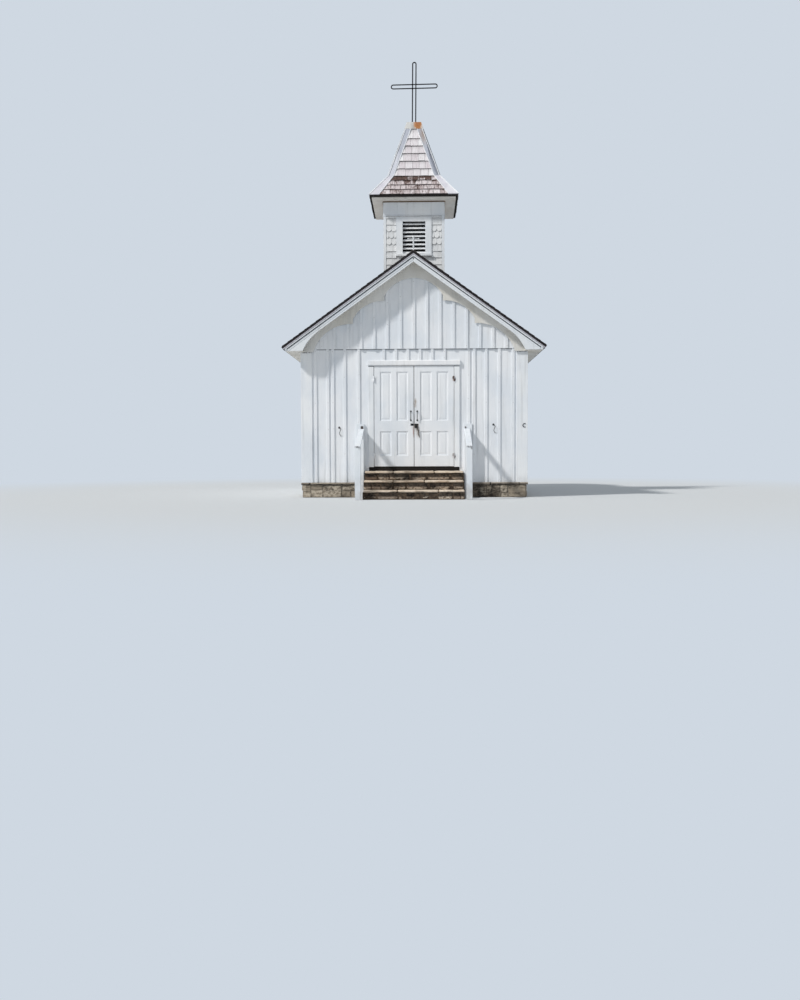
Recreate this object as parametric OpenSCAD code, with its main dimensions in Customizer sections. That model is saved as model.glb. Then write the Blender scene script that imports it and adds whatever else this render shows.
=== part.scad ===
/* [Walls] */
// Width across the front wall
body_w = 4570; // [4300:10:5200]
// Length from the front wall to the back wall
body_l = 5800; // [4800:10:7600]
// Thickness of the walls
wall_t = 120; // [90:5:180]
// Level of the soffits under the side eaves
soffit_z = 2960; // [2900:10:3300]
// Height of the gable's drip line above the soffits
gable_lift = 60; // [40:5:120]
// How far the gable boards stand in front of the wall
gable_proud = 30; // [24:1:45]
// Width of the corner boards
corner_w = 205; // [120:5:240]
// Thickness of the corner boards
corner_t = 25; // [15:1:32]
// Width of the battens
batten_w = 56; // [40:1:70]
// Thickness of the battens
batten_t = 20; // [12:1:22]
// Spacing of the battens on the gables, the sides and the back
batten_pitch = 268; // [200:1:320]
// Front battens left of the door, measured from the left corner
left_battens = [275, 528, 631, 874, 1159];
// Front battens right of the door, measured from the right corner
right_battens = [269, 553, 818, 1061, 1170];
// Spacing of the battens over the door
door_batten_pitch = 247; // [200:1:320]

/* [Foundation] */
// Height of the rubble stone
stone_h = 255; // [200:5:340]
// Thickness of the foundation walls
stone_t = 300; // [200:10:400]
// Height of the stone ledge that carries the walls
ledge_h = 50; // [30:5:70]
// How far the ledge stands out past the walls
ledge_out = 35; // [26:1:60]

/* [Roof] */
// Pitch of the main roof in degrees
roof_pitch = 35.5; // [30:0.5:42]
// Thickness of the roof
roof_t = 65; // [45:5:90]
// Width of the side eave soffits
soffit_w = 300; // [200:10:420]
// Height of the fascia at its outer face
fascia_h = 45; // [40:5:120]
// Thickness of the fascia and soffit boards
board_t = 25; // [18:1:32]
// How far the roof runs past the fascia
roof_lap = 70; // [50:5:100]
// How far the roof runs past the gable walls
rake_over = 350; // [250:10:450]

/* [Rake trim] */
// Depth of the bargeboards square to the slope
barge_h = 110; // [80:5:150]
// How far the bargeboards sit behind the roof's edge
barge_set = 26; // [24:1:40]
// Side of the moulding under the roof's edge
mould = 22; // [15:1:24]
// Radius of the curve where a bargeboard turns down to the eave
return_r = 960; // [600:20:1200]
// How far the point of the return reaches in past the wall's corner
return_in = 55; // [30:5:100]
// Gap where two bargeboards meet at the ridge
barge_joint = 2; // [1:1:4]

/* [Scalloped frieze] */
// Thickness of the frieze boards
frieze_t = 22; // [15:1:30]
// Radius of the arches along the frieze
arch_r = 670; // [620:10:760]
// Radius of the last arch at each eave
end_arch_r = 800; // [740:10:900]
// Spacing of the arches across the front
arch_step = 640; // [600:10:680]
// Half the span of the middle arch
arch_half = 594; // [560:2:610]
// Depth of frieze above the middle arch
arch_cover = 410; // [360:5:500]

/* [Door] */
// Width of one leaf
leaf_w = 806; // [740:2:840]
// Height of the leaves
leaf_h = 2040; // [1900:5:2060]
// Thickness of the leaves
leaf_t = 45; // [38:1:55]
// Gap between a leaf and its jamb
jamb_gap = 8; // [7:1:12]
// Gap between the two leaves
meeting_gap = 12; // [11:1:18]
// Gap under the leaves
sill_gap = 12; // [8:1:20]
// Width of the stiles
stile_w = 118; // [90:2:130]
// Width of the middle muntin
muntin_w = 110; // [80:2:130]
// Height of the top rail
top_rail = 115; // [90:5:150]
// Height of the lock rail
lock_rail = 215; // [160:5:240]
// Height of the bottom rail
bottom_rail = 222; // [180:2:260]
// Height of the low panels
low_panel = 495; // [420:5:560]
// Depth of the panels below the face
panel_in = 15; // [8:1:16]
// Width of the sunk margin round each raised field
panel_margin = 34; // [24:2:44]
// Height of the raised fields above the sunk margin
field_h = 5; // [4:1:8]
// Width of the casing beside the door
casing_w = 108; // [80:2:130]
// Thickness of the casing
casing_t = 28; // [22:1:36]
// How far the leaves' faces lie behind the casing's
leaf_set = 8; // [4:1:12]
// Height of the strip between the leaves and the drip cap
head_strip = 15; // [10:1:30]
// Height of the drip cap over the door
cap_h = 93; // [70:1:110]
// Fall of the drip cap's top
cap_fall = 14; // [6:1:24]
// How far the drip cap stands out from the wall
cap_out = 52; // [44:2:70]
// Width of the drip cap
cap_w = 1880; // [1860:10:2000]
// Height of the sill above the top step
sill_h = 78; // [50:2:100]
// How far the sill stands out from the wall's face
sill_out = 12; // [8:1:20]
// How far the sill's ends stop short of the casing's edges
sill_short = 6; // [4:1:20]
// Thickness of the floor
floor_t = 60; // [40:5:80]

/* [Door fittings] */
// Distance of the hinge pins in front of the casing
hinge_stand = 14; // [14:1:20]
// Radius of the hinge barrels
hinge_r = 8; // [6.5:0.5:8.5]
// Radius of the hinge pins
pin_r = 4; // [3:0.5:5]
// Running gap of the hinges
hinge_gap = 0.3; // [0.2:0.1:0.5]
// Height of each hinge, both halves together
hinge_h = 110; // [80:5:140]
// Width of the hinge plates
hinge_plate_w = 50; // [36:2:60]
// Thickness of the hinge plates
hinge_plate_t = 4; // [3:1:5]
// Distance of the low hinges above the foot of the leaves
hinge_low = 215; // [150:5:300]
// Distance of the high hinges below the head of the leaves
hinge_high = 260; // [150:5:300]
// Height of the door pulls
pull_h = 180; // [140:5:240]
// Diameter of the pulls' bar
pull_d = 13; // [10:1:16]
// How far the pulls stand out from the leaves
pull_out = 48; // [36:2:60]
// Centre of the pulls above the foot of the leaves
pull_z = 1030; // [900:5:1100]
// Width of the padlock
lock_w = 52; // [40:2:60]
// Height of the padlock's body
lock_h = 46; // [36:2:56]
// Thickness of the padlock
lock_t = 22; // [16:1:26]
// Distance of the hasp below the middle of the pulls
hasp_drop = 180; // [140:5:200]

/* [Steps and handrails] */
// Height of one step
step_rise = 181; // [160:1:200]
// Depth of one step
step_run = 330; // [280:5:340]
// Width of the steps
step_w = 1990; // [1800:10:2000]
// Thickness of the slabs on the steps
slab_t = 45; // [30:5:60]
// How far the slabs stand out past the stone below
slab_out = 28; // [15:1:40]
// Distance from the front wall to the front of the handrails
rail_reach = 1150; // [1120:10:1400]
// Width of the handrails and their posts
rail_w = 112; // [80:2:130]
// Depth of the posts, front to back
post_d = 100; // [80:5:120]
// Thickness of the handrails
rail_t = 38; // [28:1:50]
// Height of the handrails at their front end
rail_low = 1040; // [900:10:1100]
// Height of the handrails at the wall
rail_high = 1400; // [1250:10:1440]
// Gap between the steps and the posts
post_gap = 26; // [20:2:60]
// Distance from the front wall to the posts beside it
near_post = 110; // [90:5:150]
// Width of the wall plates behind the handrails
plate_w = 160; // [140:2:200]
// Thickness of the wall plates
plate_t = 45; // [36:1:60]
// Level of the tops of the wall plates
plate_top = 1500; // [1450:10:1600]

/* [Belfry] */
// Width of the belfry on each side
belfry_w = 1250; // [1100:10:1400]
// Distance of the belfry behind the front wall
belfry_set = 865; // [700:5:1400]
// Thickness of the belfry walls
belfry_t = 60; // [45:5:80]
// Height of the belfry walls above the ridge
belfry_rise = 1280; // [1180:10:1500]
// Width of the belfry's corner trim
belfry_corner = 38; // [30:2:80]
// Thickness of the belfry's trim
belfry_trim_t = 18; // [12:1:24]
// Height of the boarded band under the belfry's eaves
band_h = 300; // [240:10:340]
// Width of the louvred openings
louvre_w = 478; // [400:2:520]
// Height of the louvred openings
louvre_h = 680; // [600:10:720]
// Height of the foot of the louvred openings above the ridge
louvre_rise = 180; // [160:5:240]
// Number of slats in each opening
slat_count = 8; // [5:1:9]
// Thickness of the slats
slat_t = 12; // [8:1:16]
// Tilt of the slats in degrees
slat_tilt = 40; // [30:1:50]
// Width of the boards beside the louvres
louvre_side = 134; // [80:2:140]
// Height of the board over the louvres
louvre_head = 85; // [60:5:110]
// Thickness of the louvre frames
louvre_frame_t = 30; // [24:1:40]
// Height of the louvre sills
louvre_sill = 45; // [30:5:60]
// How far the louvre sills stand out past the frames
louvre_sill_out = 40; // [20:5:60]

/* [Spire] */
// Width of the spire's eaves
eave_w = 1840; // [1750:10:2000]
// Thickness of the soffit under the spire
spire_soffit_t = 30; // [20:5:50]
// How far the soffit lies back from the spire's eaves
soffit_in = 45; // [10:5:60]
// Height of the spire's upright edge at the eaves
eave_edge = 34; // [20:2:60]
// Width of the spire where it steepens
break_w = 1080; // [1000:10:1200]
// Height of the flared foot of the spire
flare_h = 520; // [450:10:620]
// Width of the spire at its top
tip_w = 360; // [320:5:420]
// Height of the steep part of the spire
steep_h = 1100; // [1000:10:1300]
// Width of the boards along the hips
hip_w = 120; // [60:5:140]
// Width of the hip boards at the spire's eaves
hip_foot_w = 210; // [100:5:280]
// Thickness of the boards along the hips
hip_t = 18; // [12:1:24]
// Width at the top of the spire's cap
cap_top_w = 310; // [280:5:330]
// Height of the spire's cap
spire_cap_h = 160; // [120:5:200]
// How far the cap's foot stands out past the spire
cap_lip = 20; // [20:1:40]

/* [Cross and finial] */
// Height of the cross above the cap
cross_h = 1330; // [1200:10:1500]
// Length of the cross's arms, end to end
cross_w = 1016; // [900:2:1150]
// Outside width of the upright loop
upright_w = 98; // [80:2:120]
// Outside width of the arm loop
arm_w = 106; // [80:2:120]
// Diameter of the upright loop's rod
upright_d = 26; // [16:1:30]
// Diameter of the arm loop's rod
arm_d = 24; // [14:1:28]
// How far the arm loop lies in front of the upright loop
arm_front = 8; // [4:1:10]
// Height of the arms above the cap
arm_z = 805; // [700:5:900]
// Lean of the cross to the right in degrees
cross_lean = 0.5; // [0:0.1:2]
// Rise of the arms to the right in degrees
arm_tilt = 0.7; // [0:0.1:2]
// Height of the ridge finial
finial_h = 320; // [200:10:380]
// Diameter of the finial's stem
finial_d = 28; // [22:2:56]
// Diameter of the finial's ball
finial_ball = 50; // [44:2:90]
// Distance of the finial behind the roof's front edge
finial_set = 150; // [100:10:300]

/* [Hidden] */
$fn = 32;
SKIN = 0.3;
FAR = 20000;
step_count = 3;

half_w = body_w / 2;
front_y = (rail_reach - rake_over - body_l) / 2;
back_y = front_y + body_l;
mid_y = (front_y + back_y) / 2;
wall_z = stone_h + ledge_h;
gable_z = soffit_z + gable_lift;

stair_top = step_count * step_rise;
sill_z = stair_top + sill_h;
leaf_z = sill_z + sill_gap;
head_z = leaf_z + leaf_h + jamb_gap;
door_half = leaf_w + jamb_gap + meeting_gap / 2;
casing_face = front_y - casing_t;
leaf_face = casing_face + leaf_set;
hinge_x = door_half - jamb_gap / 2;
hinge_y = casing_face - hinge_stand;
hinge_levels = [leaf_z + hinge_low, leaf_z + leaf_h - hinge_high];
panel_w = (leaf_w - 2 * stile_w - muntin_w) / 2;
tall_panel = leaf_h - top_rail - lock_rail - low_panel - bottom_rail;
cap_z = head_z + head_strip;

fascia_x = half_w + soffit_w;
tip_x = fascia_x + roof_lap;
barge_y = front_y - rake_over + barge_set;
return_x = half_w - return_in;
frieze_y = front_y - gable_proud - batten_t - frieze_t;
arch_drop = arch_step * tan(roof_pitch);
side_arches = 2;

step_back = front_y - max(ledge_out, casing_t);
post_x = step_w / 2 + post_gap;
rail_slope = (rail_high - rail_low) / (rail_reach - plate_t);

ridge_z = top_z(0);
belfry_half = belfry_w / 2;
belfry_y = front_y + belfry_set + belfry_half;
belfry_top = ridge_z + belfry_rise;
louvre_z = ridge_z + louvre_rise;
eave_z = belfry_top + spire_soffit_t;
break_z = eave_z + flare_h;
tip_z = break_z + steep_h;
cap_top_z = tip_z + spire_cap_h;

function under_z(x) = soffit_z + fascia_h + tan(roof_pitch) * (fascia_x - abs(x));
function top_z(x) = under_z(x) + roof_t / cos(roof_pitch);
function barge_low_z(x) = under_z(x) - barge_h / cos(roof_pitch);

// Level of the boards that meet the roof from below, with a hairline joint
function joint_z(x) = under_z(x) - SKIN;

// Sloping underside of a handrail, y measured out from the front wall
function rail_under(out) = rail_high - rail_slope * (out - plate_t) - rail_t;

// Draws its children on the left as well as on the right
module both_sides() {
    children();
    mirror([1, 0, 0]) children();
}

// Draws its children at the front wall and, turned about, at the back wall
module both_ends() {
    children();
    at_back() children();
}

module at_back() {
    translate([0, 2 * mid_y, 0]) mirror([0, 1, 0]) children();
}

// A block from its low corner to its high corner
module block(low, high) {
    translate(low) cube(high - low);
}

// A flat outline in X and Z, extruded along Y from y0 to y1
module slab_y(y0, y1, points) {
    translate([0, y1, 0]) rotate([90, 0, 0]) linear_extrude(y1 - y0) polygon(points);
}

// A flat outline in Y and Z, extruded along X from x0 to x1
module slab_x(x0, x1, points) {
    translate([x0, 0, 0]) rotate([90, 0, 90]) linear_extrude(x1 - x0) polygon(points);
}

// Half ring of rod at the origin, opening down
module rod_bend(radius, d) {
    rotate([90, 0, 0]) rotate_extrude(angle = 180) translate([radius, 0]) circle(d = d);
}

// Everything above the main roof
module above_roof() {
    outline = [
        [0, ridge_z], [half_w, top_z(half_w)], [half_w, FAR], [-half_w, FAR], [-half_w, top_z(half_w)]
    ];
    slab_y(front_y, back_y, outline);
}

module foundation_ends() {
    color("dimgray") both_ends() block([-half_w, front_y, 0], [half_w, front_y + stone_t, stone_h]);
}

module foundation_sides() {
    color("dimgray") both_sides()
        block([half_w - stone_t, front_y + stone_t, 0], [half_w, back_y - stone_t, stone_h]);
}

module foundation_ledge() {
    outer = [half_w + ledge_out, front_y - ledge_out, stone_h];
    color("darkgray") {
        both_ends() block([-outer.x, outer.y, stone_h], [outer.x, front_y + wall_t, wall_z]);
        both_sides() block(
            [half_w - wall_t, front_y + wall_t + SKIN, stone_h],
            [outer.x, back_y - wall_t - SKIN, wall_z]
        );
    }
}

module floor_boards() {
    color("burlywood") block(
        [wall_t - half_w, front_y + wall_t, sill_z - floor_t],
        [half_w - wall_t, back_y - wall_t, sill_z]
    );
}

// The front wall beside the door, on the right
module wall_beside_door() {
    block([door_half, front_y, wall_z], [half_w, front_y + wall_t, gable_z]);
}

module front_wall_left() {
    color("white") mirror([1, 0, 0]) wall_beside_door();
}

module front_wall_right() {
    color("white") wall_beside_door();
}

module front_wall_over_door() {
    color("white") block([-door_half, front_y, head_z], [door_half, front_y + wall_t, gable_z]);
}

module gable() {
    outline = [
        [-half_w, gable_z], [half_w, gable_z], [half_w, joint_z(half_w)],
        [0, joint_z(0)], [-half_w, joint_z(half_w)]
    ];
    color("white") slab_y(front_y - gable_proud, front_y + wall_t, outline);
}

module back_wall() {
    color("white") at_back() block([-half_w, front_y, wall_z], [half_w, front_y + wall_t, gable_z]);
}

module side_wall() {
    inner_x = half_w - wall_t;
    outline = [[inner_x, wall_z], [half_w, wall_z], [half_w, joint_z(half_w)], [inner_x, joint_z(inner_x)]];
    color("white") slab_y(front_y + wall_t, back_y - wall_t, outline);
}

// One batten on the front wall, centred on x
module front_batten(x, z0, z1) {
    block([x - batten_w / 2, front_y - batten_t, z0], [x + batten_w / 2, front_y, z1]);
}

// Battens over a whole gable
module gable_battens() {
    count = floor((half_w - batten_w) / batten_pitch);
    for (i = [-count:count]) {
        x = i * batten_pitch;
        top = joint_z(abs(x) + batten_w / 2);
        translate([0, -gable_proud, 0]) front_batten(x, gable_z, top);
    }
}

module front_battens() {
    over_door = floor(2 * door_half / door_batten_pitch);
    over_door_start = -door_batten_pitch * (over_door - 1) / 2;
    color("white") {
        difference() {
            union() {
                for (x = left_battens) front_batten(x - half_w, wall_z, gable_z);
                for (x = right_battens) front_batten(half_w - x, wall_z, gable_z);
            }
            both_sides() wall_plate_space();
        }
        for (i = [0:over_door - 1])
            front_batten(over_door_start + i * door_batten_pitch, cap_z + cap_h, gable_z);
        gable_battens();
    }
}

module back_battens() {
    count = floor((half_w - corner_w - batten_w) / batten_pitch);
    color("white") at_back() {
        for (i = [-count:count]) front_batten(i * batten_pitch, wall_z, gable_z);
        gable_battens();
    }
}

module side_battens() {
    count = floor((body_l / 2 - corner_w - batten_w) / batten_pitch);
    color("white") both_sides() for (i = [-count:count]) {
        y = mid_y + i * batten_pitch;
        block([half_w, y - batten_w / 2, wall_z], [half_w + batten_t, y + batten_w / 2, soffit_z]);
    }
}

module corner_boards() {
    color("white") both_sides() both_ends() {
        block([half_w - corner_w, front_y - corner_t, wall_z], [half_w + corner_t, front_y, soffit_z]);
        block([half_w, front_y - corner_t, wall_z], [half_w + corner_t, front_y + corner_w, soffit_z]);
    }
}

module door_casing() {
    color("white") both_sides()
        block([door_half, casing_face, sill_z], [door_half + casing_w, front_y, cap_z]);
}

// Board over the door with a sloping, weathered top, and the head strip below it
module door_cap() {
    out = front_y - cap_out;
    outline = [
        [front_y, head_z], [front_y, cap_z + cap_h], [front_y - casing_t, cap_z + cap_h],
        [out, cap_z + cap_h - cap_fall], [out, cap_z], [casing_face, cap_z], [casing_face, head_z]
    ];
    color("white") intersection() {
        slab_x(-cap_w / 2, cap_w / 2, outline);
        union() {
            block([-cap_w / 2, out, cap_z], [cap_w / 2, front_y, cap_z + cap_h]);
            block([-door_half, out, head_z], [door_half, front_y, cap_z + cap_h]);
        }
    }
}

// Timber under the doors, with ends that run out under the casing
module door_sill() {
    end = door_half + casing_w - sill_short;
    color("dimgray") {
        block([-door_half, front_y, wall_z], [door_half, front_y + wall_t, sill_z]);
        block([-end, front_y - sill_out, stair_top], [end, front_y, sill_z]);
    }
}

// Sunk margin of one panel, cut into both faces and leaving the raised field
module panel_cut(x, z, w, h) {
    for (face = [leaf_face, leaf_face + leaf_t - panel_in]) {
        difference() {
            block([x, face, z], [x + w, face + panel_in, z + h]);
            block(
                [x + panel_margin, leaf_face + panel_in - field_h, z + panel_margin],
                [x + w - panel_margin, leaf_face + leaf_t - panel_in + field_h, z + h - panel_margin]
            );
        }
    }
}

// One leaf at rest, hung on the right
module leaf() {
    x0 = meeting_gap / 2;
    low_z = leaf_z + bottom_rail;
    difference() {
        block([x0, leaf_face, leaf_z], [x0 + leaf_w, leaf_face + leaf_t, leaf_z + leaf_h]);
        for (x = [x0 + stile_w, x0 + stile_w + panel_w + muntin_w]) {
            panel_cut(x, low_z, panel_w, low_panel);
            panel_cut(x, low_z + low_panel + lock_rail, panel_w, tall_panel);
        }
    }
}

module left_door() {
    color("white") mirror([1, 0, 0]) leaf();
}

module right_door() {
    color("white") leaf();
}

// Leaf's half of a right hinge: the upper barrel turns on the pin
module hinge(z) {
    edge = hinge_x - jamb_gap / 2;
    low = z + hinge_gap;
    high = z + hinge_h / 2;
    difference() {
        union() {
            translate([hinge_x, hinge_y, low]) cylinder(h = high - low, r = hinge_r);
            block([edge - hinge_plate_t, hinge_y, low], [edge, leaf_face, high]);
            block([edge - hinge_plate_w, leaf_face - hinge_plate_t, low], [edge, leaf_face, high]);
        }
        translate([hinge_x, hinge_y, z]) cylinder(h = hinge_h, r = pin_r + hinge_gap);
    }
}

// Jamb's half of a right hinge: the lower barrel with its pin, on the casing
module jamb_hinge(z) {
    edge = door_half;
    low = z - hinge_h / 2;
    pin_short = 2;
    translate([hinge_x, hinge_y, low]) {
        cylinder(h = hinge_h / 2, r = hinge_r);
        cylinder(h = hinge_h - pin_short, r = pin_r);
    }
    block([edge, hinge_y, low], [edge + hinge_plate_t, casing_face, z]);
    block([edge, casing_face - hinge_plate_t, low], [edge + hinge_plate_w, casing_face, z]);
}

module jamb_hinges() {
    color("black") both_sides() for (z = hinge_levels) jamb_hinge(z);
}

// Bar pull with a round rose at each end, on the middle of the meeting stile
module pull() {
    x = (meeting_gap + stile_w) / 2;
    rose_d = 34;
    rose_t = 6;
    arm = pull_out - pull_d / 2;
    for (end = [-1, 1]) {
        translate([x, leaf_face, leaf_z + pull_z + end * pull_h / 2]) rotate([90, 0, 0]) {
            cylinder(h = rose_t, d = rose_d);
            cylinder(h = arm, d = pull_d);
            translate([0, 0, arm]) sphere(d = pull_d);
        }
    }
    translate([x, leaf_face - arm, leaf_z + pull_z - pull_h / 2]) cylinder(h = pull_h, d = pull_d);
}

module leaf_fittings() {
    for (z = hinge_levels) hinge(z);
    pull();
}

// Staple plate of the hasp, on the left leaf
module left_door_fittings() {
    plate = [58, 4, 44];
    edge = meeting_gap / 2 + 6;
    low = leaf_z + pull_z - hasp_drop - plate.z / 2;
    color("black") mirror([1, 0, 0]) {
        leaf_fittings();
        block([edge, leaf_face - plate.y, low], [edge + plate.x, leaf_face, low + plate.z]);
    }
}

module right_door_fittings() {
    color("black") leaf_fittings();
}

// Hasp strap on the right leaf with the padlock hanging from its staple
module door_lock() {
    strap = [78, 5, 34];
    staple_w = 10;
    shackle_r = 15;
    shackle_d = 8;
    leg = 22;
    sunk = 2;
    edge = meeting_gap / 2 + 4;
    x = edge + strap.x / 2 - 9;
    strap_z = leaf_z + pull_z - hasp_drop;
    bend_z = strap_z - 4;
    lock_y = leaf_face - strap.y - lock_t / 2 - 2;
    body_z = bend_z - leg + sunk;
    color("black") {
        block(
            [edge, leaf_face - strap.y, strap_z - strap.z / 2],
            [edge + strap.x, leaf_face, strap_z + strap.z / 2]
        );
        block(
            [x - staple_w / 2, lock_y - shackle_d, bend_z],
            [x + staple_w / 2, leaf_face - strap.y, bend_z + shackle_r - shackle_d / 2]
        );
        translate([x, lock_y, bend_z]) rod_bend(shackle_r, shackle_d);
        for (end = [-1, 1])
            translate([x + end * shackle_r, lock_y, bend_z - leg]) cylinder(h = leg, d = shackle_d);
        block(
            [x - lock_w / 2, lock_y - lock_t / 2, body_z - lock_h],
            [x + lock_w / 2, lock_y + lock_t / 2, body_z]
        );
    }
}

// Rough stone under the slab of step i, counted from the ground
module step(i) {
    y0 = front_y - (step_count + 1 - i) * step_run;
    color("slategray") block(
        [-step_w / 2, y0, (i - 1) * step_rise],
        [step_w / 2, step_back, i * step_rise - slab_t]
    );
}

module step_slabs() {
    color("lightgray") for (i = [1:step_count]) {
        y0 = front_y - (step_count + 1 - i) * step_run - slab_out;
        y1 = i == step_count ? front_y : step_back;
        block([-step_w / 2, y0, i * step_rise - slab_t], [step_w / 2, y1, i * step_rise]);
    }
}

module handrails() {
    back = front_y - plate_t;
    front = front_y - rail_reach;
    outline = [
        [back, rail_under(plate_t)], [back, rail_under(plate_t) + rail_t],
        [front, rail_under(rail_reach) + rail_t], [front, rail_under(rail_reach)]
    ];
    color("white") both_sides() slab_x(post_x, post_x + rail_w, outline);
}

// A post under the right handrail, its outer face this far from the front wall
module post(out) {
    back = out - post_d;
    outline = [
        [front_y - out, 0], [front_y - back, 0],
        [front_y - back, rail_under(back) - SKIN], [front_y - out, rail_under(out) - SKIN]
    ];
    slab_x(post_x, post_x + rail_w, outline);
}

module wall_plate_space() {
    block(
        [post_x, front_y - plate_t, wall_z],
        [post_x + plate_w, front_y, plate_top]
    );
}

module handrail_posts() {
    color("white") both_sides() {
        post(rail_reach);
        post(near_post + post_d);
        wall_plate_space();
    }
}

module roof_slope() {
    cut = roof_t * [sin(roof_pitch), cos(roof_pitch)];
    outline = [
        [0, under_z(0)], [tip_x - cut.x, top_z(tip_x) - cut.y], [tip_x, top_z(tip_x)], [0, ridge_z]
    ];
    color("saddlebrown") slab_y(front_y - rake_over, back_y + rake_over, outline);
}

// Soffit and fascia of the right eave, with the soffit's return at both ends
module eave_box() {
    barge_back = barge_y + board_t;
    y1 = 2 * mid_y - barge_back;
    outline = [
        [half_w, soffit_z], [fascia_x, soffit_z], [fascia_x, joint_z(fascia_x)],
        [fascia_x - board_t, joint_z(fascia_x - board_t)], [fascia_x - board_t, soffit_z + board_t],
        [half_w, soffit_z + board_t]
    ];
    slab_y(barge_back, y1, outline);
    both_ends() block([return_x, barge_back, soffit_z], [half_w, frieze_y, soffit_z + board_t]);
}

module eave_boxes() {
    color("white") both_sides() eave_box();
}

// Bargeboard of the right slope: its lower edge turns down on an arc to the eave's return
module bargeboard() {
    steps = 8;
    slope = [cos(roof_pitch), -sin(roof_pitch)];
    square = [sin(roof_pitch), cos(roof_pitch)];
    point = [return_x, soffit_z];
    depth = (barge_low_z(return_x) - soffit_z) * cos(roof_pitch);
    run = sqrt(2 * return_r * depth - pow(depth, 2));
    centre = point + (depth - return_r) * square - run * slope;
    end_angle = acos((soffit_z - centre.y) / return_r);
    curve = [
        for (i = [0:steps])
            let (a = end_angle + (roof_pitch - end_angle) * i / steps)
                centre + return_r * [sin(a), cos(a)]
    ];
    x0 = barge_joint / 2;
    outline = concat(
        [[x0, joint_z(x0)], [fascia_x, joint_z(fascia_x)], [fascia_x, soffit_z]],
        curve,
        [[x0, barge_low_z(x0)]]
    );
    mould_drop = mould / cos(roof_pitch);
    mould_outline = [
        [x0, joint_z(x0)], [fascia_x, joint_z(fascia_x)],
        [fascia_x, under_z(fascia_x) - mould_drop], [x0, under_z(x0) - mould_drop]
    ];
    slab_y(barge_y, barge_y + board_t, outline);
    slab_y(barge_y - mould, barge_y, mould_outline);
}

module bargeboards() {
    color("white") both_ends() both_sides() bargeboard();
}

function arch_x(i) = i * arch_step;
function arch_radius(i) = i < side_arches ? arch_r : end_arch_r;
function arch_centre_z(i) = under_z(0) - arch_cover - i * arch_drop - arch_radius(i);
function arch_low_z(i, x) = arch_centre_z(i) + sqrt(pow(arch_radius(i), 2) - pow(x - arch_x(i), 2));
function frieze_end_x() =
    arch_x(side_arches) + sqrt(pow(end_arch_r, 2) - pow(soffit_z - arch_centre_z(side_arches), 2));

// Points along arch i, from x0 to x1
function arch_points(i, x0, x1) =
    let (
        a0 = asin((x0 - arch_x(i)) / arch_radius(i)),
        a1 = asin((x1 - arch_x(i)) / arch_radius(i)),
        count = 10
    )
    [for (k = [0:count]) let (a = a0 + (a1 - a0) * k / count)
        [arch_x(i) + arch_radius(i) * sin(a), arch_centre_z(i) + arch_radius(i) * cos(a)]];

// Right half of the frieze's lower edge, from the middle out
function frieze_edge() = [
    for (i = [0:side_arches])
        let (
            x0 = i == 0 ? 0 : arch_half + (i - 1) * arch_step,
            x1 = i == side_arches ? frieze_end_x() : arch_half + i * arch_step
        )
        each arch_points(i, x0, x1)
];

module gable_frieze() {
    edge = frieze_edge();
    right = concat([[0, joint_z(0)]], [[half_w, joint_z(half_w)], [half_w, soffit_z]],
        [for (k = [len(edge) - 1:-1:0]) edge[k]]);
    both_sides() slab_y(frieze_y, frieze_y + frieze_t, right);
}

module gable_friezes() {
    color("antiquewhite") both_ends() gable_frieze();
}

// A belfry wall at the front of the belfry
module belfry_wall(width) {
    block([-width / 2, -belfry_half, soffit_z], [width / 2, belfry_t - belfry_half, belfry_top]);
}

module louvred_wall() {
    difference() {
        belfry_wall(belfry_w);
        block([-louvre_w / 2, -belfry_w, louvre_z], [louvre_w / 2, 0, louvre_z + louvre_h]);
    }
}

// Places its children about the belfry's middle, turned to side i
module belfry_side(i) {
    translate([0, belfry_y, 0]) rotate([0, 0, 90 * i]) children();
}

module belfry_front() {
    color("white") intersection() {
        belfry_side(0) louvred_wall();
        above_roof();
    }
}

module belfry_back() {
    color("white") intersection() {
        belfry_side(2) louvred_wall();
        above_roof();
    }
}

module belfry_sides() {
    color("white") intersection() {
        for (i = [1, 3]) belfry_side(i) belfry_wall(belfry_w - 2 * belfry_t);
        above_roof();
    }
}

// Corner trim and the band under the eaves: a square ring, cut away between the corners
module belfry_trim() {
    outer = belfry_half + belfry_trim_t;
    inner = belfry_half - belfry_corner;
    band_z = belfry_top - band_h;
    color("white") intersection() {
        belfry_side(0) difference() {
            block([-outer, -outer, 0], [outer, outer, belfry_top]);
            block([-belfry_half, -belfry_half, -FAR], [belfry_half, belfry_half, FAR]);
            block([-inner, -belfry_w, -FAR], [inner, belfry_w, band_z]);
            block([-belfry_w, -inner, -FAR], [belfry_w, inner, band_z]);
        }
        above_roof();
    }
}

module louvre_slats() {
    pitch = louvre_h / slat_count;
    depth = (belfry_t - slat_t * sin(slat_tilt)) / cos(slat_tilt);
    color("white") for (side = [0, 2], i = [0:slat_count - 1])
        belfry_side(side)
            translate([-louvre_w / 2, belfry_t / 2 - belfry_half, louvre_z + (i + 0.5) * pitch])
                rotate([slat_tilt, 0, 0])
                    translate([0, -depth / 2, -slat_t / 2]) cube([louvre_w, depth, slat_t]);
}

// Boards round one louvred opening, with a sill that stands out
module louvre_frame() {
    outer = louvre_w / 2 + louvre_side;
    face = -belfry_half - louvre_frame_t;
    difference() {
        block([-outer, face, louvre_z], [outer, -belfry_half, louvre_z + louvre_h + louvre_head]);
        block([-louvre_w / 2, -belfry_w, 0], [louvre_w / 2, 0, louvre_z + louvre_h]);
    }
    block([-outer, face - louvre_sill_out, louvre_z - louvre_sill], [outer, -belfry_half, louvre_z]);
}

module louvre_frames() {
    color("white") for (side = [0, 2]) belfry_side(side) louvre_frame();
}

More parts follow.
